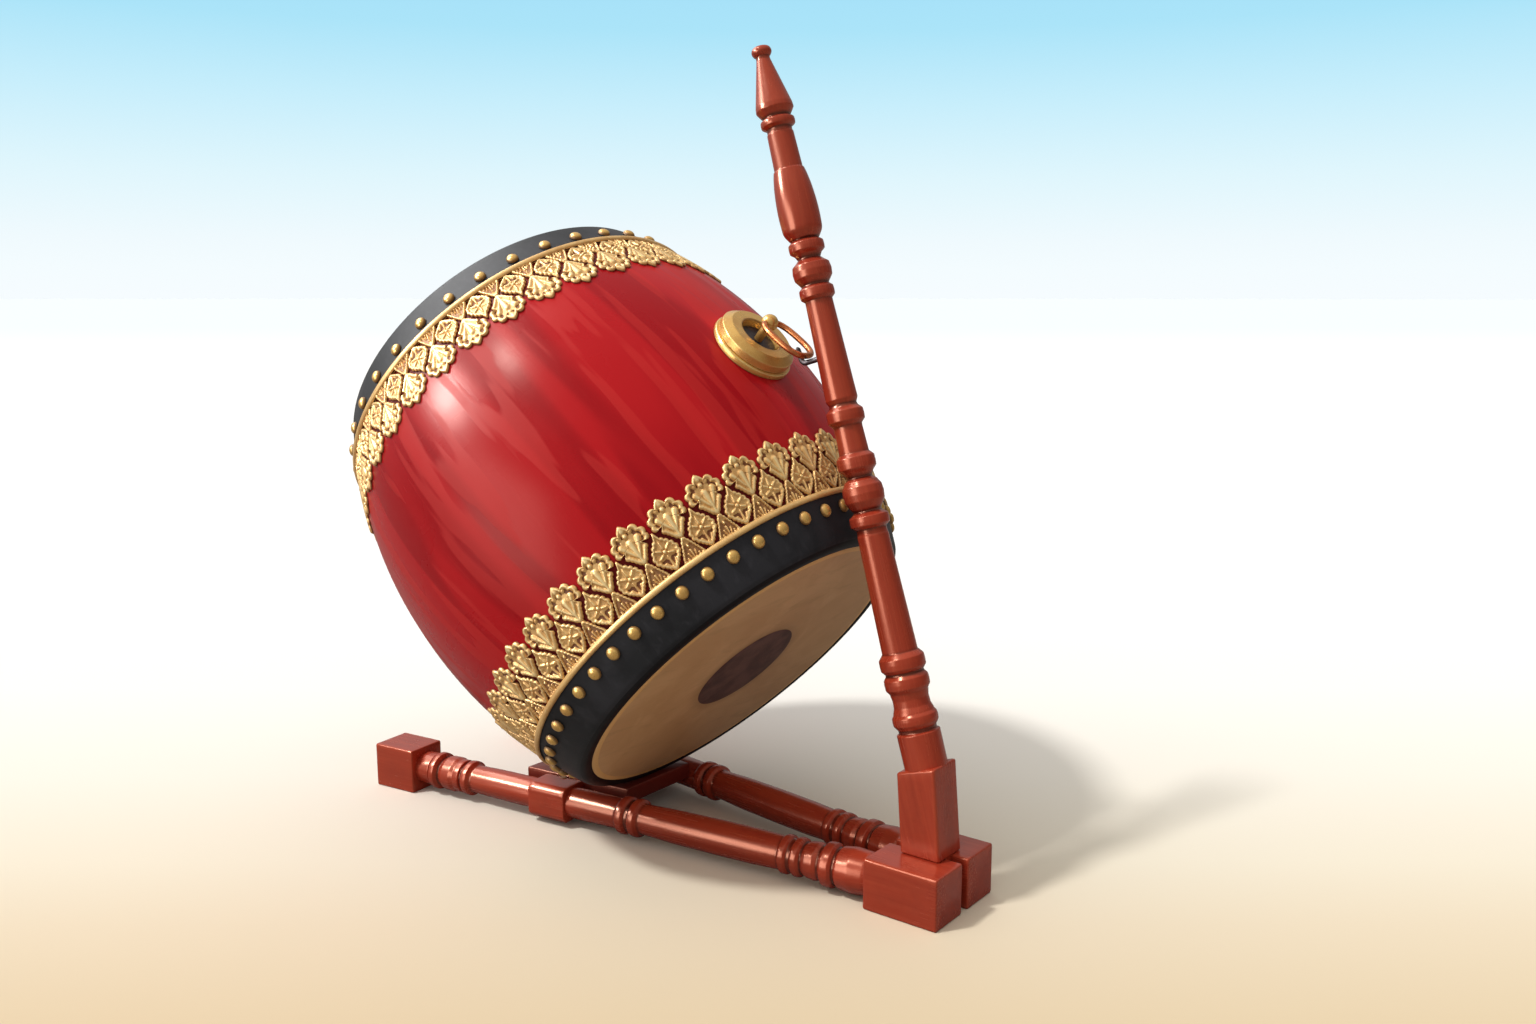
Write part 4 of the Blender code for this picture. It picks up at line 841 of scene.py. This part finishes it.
def tube(path, wire, normal, closed=True):
    """Rings of a round wire along a plane path: each in the plane of its normal and binormal."""
    tangent = (np.roll(path, -1, axis=0) - np.roll(path, 1, axis=0)) if closed else np.gradient(
        path, axis=0)
    tangent /= np.linalg.norm(tangent, axis=1)[:, None]
    outward = np.cross(tangent, normal)[:, None]
    turn = turns(WIRE_SIDES)[None, :, None]
    return path[:, None] + np.reshape(wire, (-1, 1, 1)) * (
        outward * np.cos(turn) + normal * np.sin(turn))


RING_LENGTH, RING_HALF_WIDTH, RING_SQUARENESS = 0.0620, 0.0200, 2.7
RING_WIRE, RING_SHIFT, RING_DROP = 0.0035, 0.0008, radians(35)
PIVOT = (BOSS @ np.array([0, 0, BALL_HEIGHT, 1]))[:3]
TOWARD = np.array([cos(RING_DROP), 0, -sin(RING_DROP)])
ACROSS = np.array([0.0, 1.0, 0.0])
WIRE_SIDES = 20


def make_ring():
    """The oval ring: a superellipse of round wire through the ball."""
    angle = turns(140, 0.5)
    power = 2 / RING_SQUARENESS
    cosine, sine = np.cos(angle), np.sin(angle)
    along = RING_LENGTH / 2 * (1 - np.sign(cosine) * np.abs(cosine) ** power) - RING_SHIFT
    across = RING_HALF_WIDTH * np.sign(sine) * np.abs(sine) ** power
    path = PIVOT + TOWARD * along[:, None] + ACROSS * across[:, None]
    points, faces = loft(tube(path, RING_WIRE, np.cross(TOWARD, ACROSS)), closed=True)
    solid("oval_ring", points, faces, np.eye(4), "ring", "copper", ["drum_ring"], 0.2)


# Stand

def rounded_rectangle(half_x, half_y, corner, steps=6, runs=8):
    """Points round a rectangle with rounded corners and straight runs, with edge values."""
    signs = [(1, 1), (-1, 1), (-1, -1), (1, -1)]
    inner = np.array([half_x - corner, half_y - corner])
    share = spaced(0, 1, runs + 2)[1:-1, None]
    out, edge = [], []
    for quarter, sign in enumerate(signs):
        angle = pi / 2 * (quarter + spaced(0, 1, steps))
        bend = corner * beside(np.cos(angle), np.sin(angle))
        arc = inner * sign + bend
        following = inner * signs[(quarter + 1) % 4] + bend[-1]
        out += [arc, arc[-1] + (following - arc[-1]) * share]
        edge += [np.ones(steps), 0.55 * np.exp(-14 * np.minimum(share, 1 - share)[:, 0])]
    return join(out), join(edge)


def chamfered_ends(low, high, soft, rows=10):
    """Heights along a block, how far its outline draws in at each, and edge values."""
    turn = spaced(0, pi / 2, 5)
    first = low + soft * (1 - np.sin(turn))[::-1]
    draw = soft * (1 - np.cos(turn))[::-1]
    middle = spaced(low + soft, high - soft, rows)[1:-1]
    heights = join([first, middle, low + high - first[::-1]])
    drawn = join([draw, np.zeros(len(middle)), draw[::-1]])
    inside = 0.5 * np.exp(-np.minimum(middle - low, high - middle) / 0.006)
    edge = join([spaced(1, 0.6, 5), inside, spaced(0.6, 1, 5)])
    return heights, drawn, edge


def stacked(rings, around, at_end, strength=0.9):
    """Points, faces and edge values of stacked outlines, rubbed at their corners and ends."""
    points, faces = loft(np.stack(rings))
    edge = np.maximum(around, at_end[:, None]) * strength - 0.2
    return points, faces, join([edge.ravel(), [-0.1, -0.1]])


def block(name, half_x, half_y, low, high, matrix, replaced=(), soft=0.0020, corner=0.0022,
          steps=6):
    """A squared block of the stand along Z, with eased corners and ends."""
    heights, drawn, at_end = chamfered_ends(low, high, soft)
    around = rounded_rectangle(half_x, half_y, corner, steps)[1]
    rings = [
        beside(*rounded_rectangle(half_x - draw, half_y - draw, corner, steps)[0].T, height)
        for height, draw in zip(heights, drawn)]
    points, faces, edge = stacked(rings, around, at_end)
    solid(name, points, faces, matrix, "stand", "stained_wood", replaced, edge, sharp=50)


def rail_place(side):
    """A rail's frame: Z out along the rail, X up."""
    out = Vector((-cos(RAIL_SPREAD), side * sin(RAIL_SPREAD), 0))
    up = Vector((0, 0, 1))
    level = out.cross(up)
    turn = Matrix((up, level, out)).transposed().to_4x4()
    origin = (FACE_X - BLOCK_LENGTH, side * (BLOCK_SPACING + BLOCK_WIDTH) / 2, BLOCK_HEIGHT / 2)
    return np.array(Matrix.Translation(origin) @ turn)


def rail_chain():
    """The rail's turning from its far end to the block, in millimetres."""
    return [
        [(RAIL_LENGTH / MM + 4, 20.8), (664, 21), (643, 21), (642.5, 18.5)],
        bead(629, 642, 19.5, 24), [(627, 18)],
        [(624.5, 20), (619, 22.2), (606, 22.6), (600, 20.8)],
        [(598, 21.2), (591.5, 21.2), (590, 18)],
        bead(574, 588, 18.5, 22.4),
        [(572, 17.6), (540, 18.6), (460, 19), (413, 19), (405, 19), (342, 18.6)],
        bead(326, 340, 19, 23), bead(308, 322, 19, 23),
        [(306, 18), (260, 19.8), (200, 20.4), (150, 20.2), (117, 19.2)],
        bead(103, 115, 19, 22.3), bead(87, 99, 19, 22.3),
        [(86, 18), (80, 20.5), (70, 21.6), (64, 19.6)],
        bead(45, 62, 20.5, 25.2),
        [(43.2, 20.5), (40, 23.6), (25, 25.5), (8, 24), (0.4, 21.8)]]


def make_rails():
    """Two turned rails, each with its square end block and square collar."""
    profile, edge = worked(rail_chain())
    for label, side in SIDES:
        place = rail_place(side)
        turned(f"turned_rail_{label}", profile, 56, place, "stand", "stained_wood",
               [f"rail_{label}"], edge=edge)
        block(f"rail_end_{label}", BLOCK_HEIGHT / 2, BLOCK_WIDTH / 2, RAIL_LENGTH,
              RAIL_LENGTH + RAIL_END_LENGTH, place)
        block(f"rail_collar_{label}", COLLAR_HALF, COLLAR_HALF, COLLAR_START, COLLAR_END, place,
              soft=0.0012, corner=0.0064, steps=2)


def make_blocks():
    """The two blocks at the post's foot."""
    for label, side in SIDES:
        middle = side * (BLOCK_SPACING + BLOCK_WIDTH) / 2
        block(f"squared_block_{label}", BLOCK_HEIGHT / 2, BLOCK_WIDTH / 2, 0.0, BLOCK_LENGTH,
              placed((FACE_X, middle, BLOCK_HEIGHT / 2), -pi / 2), [f"post_block_{label}"])


def post_chain():
    """The post's turning from its knob to its shoulder, in millimetres."""
    return [
        curve([(894.9, 0.4), (894.5, 6), (892.5, 9.8), (888.5, 11.1), (885, 9.6), (883.2, 7.6)]),
        [(880, 7.7), (829, 20.3), (824, 20.8), (816, 15.5)],
        bead(804, 815, 15, 19), [(803, 13.8), (799, 13.8), (798, 14.6), (757.5, 15.7)],
        curve([(757, 17), (745, 19.6), (730, 21.4), (713, 22.4),
               (699, 22.2), (689, 21.2), (681, 16.6)]),
        bead(664, 679.5, 15, 19.6), [(659, 12.4)],
        [(655.5, 16), (652, 20.4), (645, 21.5), (638, 20.8), (631.2, 15.8)],
        bead(613, 629.5, 15, 19.2), [(611, 15), (503, 17.6), (497.5, 15)],
        bead(474.5, 494.5, 16, 20.6), [(473, 15.6), (445, 16.4)],
        bead(422.5, 443.5, 16.5, 21.2), [(417, 13.5), (413, 18), (410, 19.6), (407, 21.7)],
        [(399, 22.6), (391, 21.7), (385.5, 18.4), (380.5, 15)],
        bead(361, 378.5, 16.5, 21.8), [(360, 16.5), (355, 16.5), (353.5, 17.2), (225, 19.5)],
        bead(203, 223.5, 21, 25), bead(182, 201, 21.2, 24.6),
        [(174, 19.8), (166, 20.2), (160.5, 22.2)], bead(144, 159, 22.4, 25),
        [(142, 20.8), (138.5, 20.8), (137, 23.8), (POST_SHOULDER / MM, 23.6),
         (POST_SHOULDER / MM - 4, 23.2)]]


def make_post():
    """The leaning post: its turning, and the square foot from a level base to its shoulder."""
    profile, edge = worked(post_chain())
    turned("turned_post", profile, 64, POST, "stand", "stained_wood", ["stand_post"], edge=edge)
    inverse = np.linalg.inv(POST)
    half = FOOT_SIDE / 2
    heights, drawn, at_end = chamfered_ends(0.0, 1.0, 0.024, 12)
    rings = []
    for share, draw in zip(heights, drawn):
        pull = draw * 0.1
        outline, around = rounded_rectangle(half - pull, half - pull, 0.0030)
        flat = beside(*outline.T, 0.0)
        base = flat + [FACE_X - POST_FOOT_X, 0, BLOCK_HEIGHT + GAP]
        low = base @ inverse[:3, :3].T + inverse[:3, 3]
        rings.append(low + (flat + [0, 0, POST_SHOULDER] - low) * share)
    points, faces, edge = stacked(rings, around, at_end)
    solid("square_foot", points, faces, POST, "stand", "stained_wood", edge=edge, sharp=50)
    block("tongue", 0.022, BLOCK_SPACING / 2 - GAP, BLOCK_HEIGHT - 0.045, BLOCK_HEIGHT + 0.004,
          placed((FACE_X - POST_FOOT_X, 0, 0)), soft=0.0008, corner=0.0010)


def beside_rail(side, along):
    """Plan position at the board's inset from a rail's line."""
    return (rail_place(side) @ np.array([0, -side * BOARD_INSET, along, 1]))[:2]


def make_board():
    """The cross board: a tapered plank with eased edges, its ends following the rails."""
    corners = np.array([beside_rail(side, along) for side, along in (
        (-1, BOARD_START), (-1, BOARD_END), (1, BOARD_END), (1, BOARD_START))])
    share = spaced(0, 1, 24)[:-1, None]
    outline = join([here + (then - here) * share
                    for here, then in zip(corners, np.roll(corners, -1, axis=0))])
    around = np.tile(0.6 * np.exp(-30 * np.minimum(share, 1 - share)[:, 0]), 4)
    outward = outline - corners.mean(axis=0)
    outward /= np.linalg.norm(outward, axis=1)[:, None]
    heights, drawn, at_end = chamfered_ends(BOARD_TOP - BOARD_THICKNESS, BOARD_TOP, 0.0018, 5)
    rings = [beside(*(outline - outward * draw).T, height)
             for height, draw in zip(heights, drawn)]
    points, faces, edge = stacked(rings, around, at_end, 0.8)
    solid("plank", points, faces, np.eye(4), "stand", "dark_stained_wood", ["cross_board"], edge,
          points[:, [0, 2, 1]], 50)


def make_hook():
    """The hook: a round wire out of the post, under the ring's far end and up in front of it."""
    ring_end = PIVOT + TOWARD * (RING_LENGTH - RING_SHIFT)
    local = np.linalg.inv(POST) @ np.append(ring_end, 1)
    out, height = -local[0], local[2]
    wire, play, bend, rise, shank = 0.0030, 0.0010, 0.0060, 0.0120, 0.0120
    under = height - RING_WIRE - wire - play
    riser = out + RING_WIRE + wire + play
    turn = spaced(0, pi / 2, 12)
    flare = tan(LIFT_LEAN - POST_LEAN)
    climb = spaced(0, 1, 14)[1:] * (height + rise - under - bend)
    path = join([
        beside(spaced(-shank, riser - bend, 24)[:-1], under),
        beside(riser - bend + bend * np.sin(turn), under + bend - bend * np.cos(turn)),
        beside(riser + flare * climb, under + bend + climb)])
    line = beside(-path[:, 0], 0.0, path[:, 1])
    width = np.full(len(line), wire)
    width[-4:] = wire * np.array([0.97, 0.88, 0.68, 0.35])
    points, faces = loft(tube(line, width, ACROSS, closed=False))
    solid("wire_hook", points, faces, POST, "stand", "dark_iron", ["post_hook"], 0.1)


def by_place(slot):
    """A finish for carried-over solids, which have no values of their own: read by place."""
    material = FINISH[slot].copy()
    material.name = slot + "_by_place"
    t = Tree(material.node_tree)
    place = t.add("TexCoord").outputs["Object"]
    for node in list(t.tree.nodes):
        if getattr(node, "attribute_name", "") == "local":
            for link in list(node.outputs["Vector"].links):
                t.feed(link.to_socket, place)
            t.tree.nodes.remove(node)
    return material


CARRIED_OVER = {"brass": ["ring_bolt"], "dark_iron": ["bolt_washer", "bolt_nut"],
                "raw_wood": ["block_dowel_1", "block_dowel_2", "board_peg_front",
                             "board_peg_back"]}

make_shell()
make_head("bottom", np.eye(4))
make_head("top", TOP)
make_boss()
make_ring()
make_rails()
make_blocks()
make_post()
make_board()
make_hook()
for slot, nodes in CARRIED_OVER.items():
    finished = by_place(slot)
    for node in nodes:
        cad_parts[node].data.materials.clear()
        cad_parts[node].data.materials.append(finished)


# Floor, light and camera

FLOOR_REACH = 300.0
AWAY, ASIDE = (-0.61, 0.79, 0.0), (0.79, 0.61, 0.0)  # from the viewer, and to the right


def make_floor():
    """A wide pale floor: a cream patch near the viewer, white further off and to the sides."""
    mesh, far = bpy.data.meshes.new("floor"), FLOOR_REACH
    mesh.from_pydata([(-far, -far, 0), (far, -far, 0), (far, far, 0), (-far, far, 0)], [],
                     [(0, 1, 2, 3)])
    add_object("floor", mesh)
    t = start("floor")
    place = t.add("TexCoord").outputs["Object"]
    depth = t.vector("DOT_PRODUCT", place, AWAY)["Value"]
    aside = t.math("ABSOLUTE", t.vector("DOT_PRODUCT", place, ASIDE)["Value"])
    span = t.add("MapRange", {"Value": depth, "From Min": -0.50, "From Max": 2.60}).outputs[0]
    base = t.ramp(span, [
        (0.0, (226, 204, 168)), (0.07, (235, 218, 190)), (0.12, (241, 230, 208)),
        (0.21, (247, 240, 226)), (0.34, (252, 248, 240)), (0.60, (254, 252, 247)),
        (1.0, (255, 255, 254))])
    base = t.mix(t.range(depth, -3.2, -0.55), (244, 241, 235), base)
    base = t.mix(t.range(aside, 1.3, 3.0), base, (250, 248, 243))
    base = t.mix(t.range(depth, 4.0, 28.0), base, (236, 242, 244))
    seen = t.add("LightPath").outputs["Is Camera Ray"]
    base = t.mix(seen, (158, 152, 146), base)
    mesh.materials.append(finish(t, base, 0.9, specular=0.0))


def aim(light, position, target):
    """Turn a light towards a point."""
    light.location = position
    light.rotation_euler = (Vector(target) - Vector(position)).to_track_quat("-Z", "Y").to_euler()


def make_sun(name, direction, strength, angle):
    """A distant white light with a soft edge, which travels along the direction."""
    lamp = bpy.data.lights.new(name, "SUN")
    lamp.energy, lamp.angle = strength, radians(angle)
    aim(add_object(name, lamp), -Vector(direction), (0, 0, 0))


def make_panel(name, position, target, width, height, radiance):
    """A soft rectangular light aimed at a point, which shows only in reflections."""
    lamp = bpy.data.lights.new(name, "AREA")
    lamp.shape, lamp.size, lamp.size_y = "RECTANGLE", width, height
    lamp.energy = radiance * pi * width * height
    light = add_object(name, lamp)
    light.visible_diffuse = False
    aim(light, position, target)


GLOW_HORIZON, GLOW_TOP, GLOW_TURN = 0.28, 0.90, 0.62


def make_world():
    """A pale backdrop, white at the horizon and light blue higher up, and a softer white glow."""
    world = bpy.data.worlds.new("pale_sky")
    bpy.context.scene.world = world
    world.use_nodes = True
    t = Tree(world.node_tree)
    up = t.add("SeparateXYZ", {0: t.add("TexCoord").outputs["Generated"]}).outputs
    colour = t.ramp(up["Z"], [
        (0.0, (246, 252, 255)), (0.020, (244, 252, 255)), (0.040, (240, 250, 254)),
        (0.085, (224, 246, 253)), (0.138, (199, 238, 252)), (0.188, (171, 228, 249)),
        (0.300, (150, 216, 248))])
    shown, end = t.tree.nodes["Background"], t.tree.nodes["World Output"]
    t.feed(shown.inputs["Color"], colour)
    strength = t.scaled(up["Z"], GLOW_TOP - GLOW_HORIZON, GLOW_HORIZON)
    right = t.scaled(up["X"], ASIDE[0], t.times(up["Y"], ASIDE[1]))
    strength = t.times(strength, t.scaled(right, -GLOW_TURN, 1.0))
    glow = t.add("Background", {"Color": (1.0, 1.0, 1.0, 1.0), "Strength": strength})
    seen = t.add("LightPath").outputs["Is Camera Ray"]
    both = t.add("MixShader", {0: seen, 1: glow.outputs[0], 2: shown.outputs[0]})
    t.feed(end.inputs["Surface"], both.outputs[0])


VIEW_PLACE, VIEW_DIP, VIEW_TURN = (1.0476, -1.1681, 0.65), 9.3688, 37.46  # metres, degrees


def make_camera():
    """The viewpoint, from the stand's front right, a little above the drum's middle."""
    view = bpy.data.cameras.new("view")
    view.lens, view.sensor_width, view.clip_end = 30.67, 36.0, 1000.0
    camera = add_object("view", view)
    camera.location = VIEW_PLACE
    camera.rotation_euler = (radians(90 - VIEW_DIP), 0, radians(VIEW_TURN))
    bpy.context.scene.camera = camera


make_floor()
make_sun("key", (0.40, 0.60, -0.95), 1.75, 6.0)
make_panel("left_panel", (-1.5, -1.6, 1.6), (0.1, 0.0, 0.40), 0.5, 0.5, 100.0)
make_panel("strip_panel", (-0.62, -2.3, 0.55), (0.20, 0.0, 0.55), 1.3, 1.5, 7.5)
make_panel("top_panel", (-1.25, -0.35, 1.85), (0.0, 0.0, 0.10), 1.3, 1.0, 7.0)
make_world()
make_camera()
bpy.context.scene.view_settings.view_transform = "Standard"
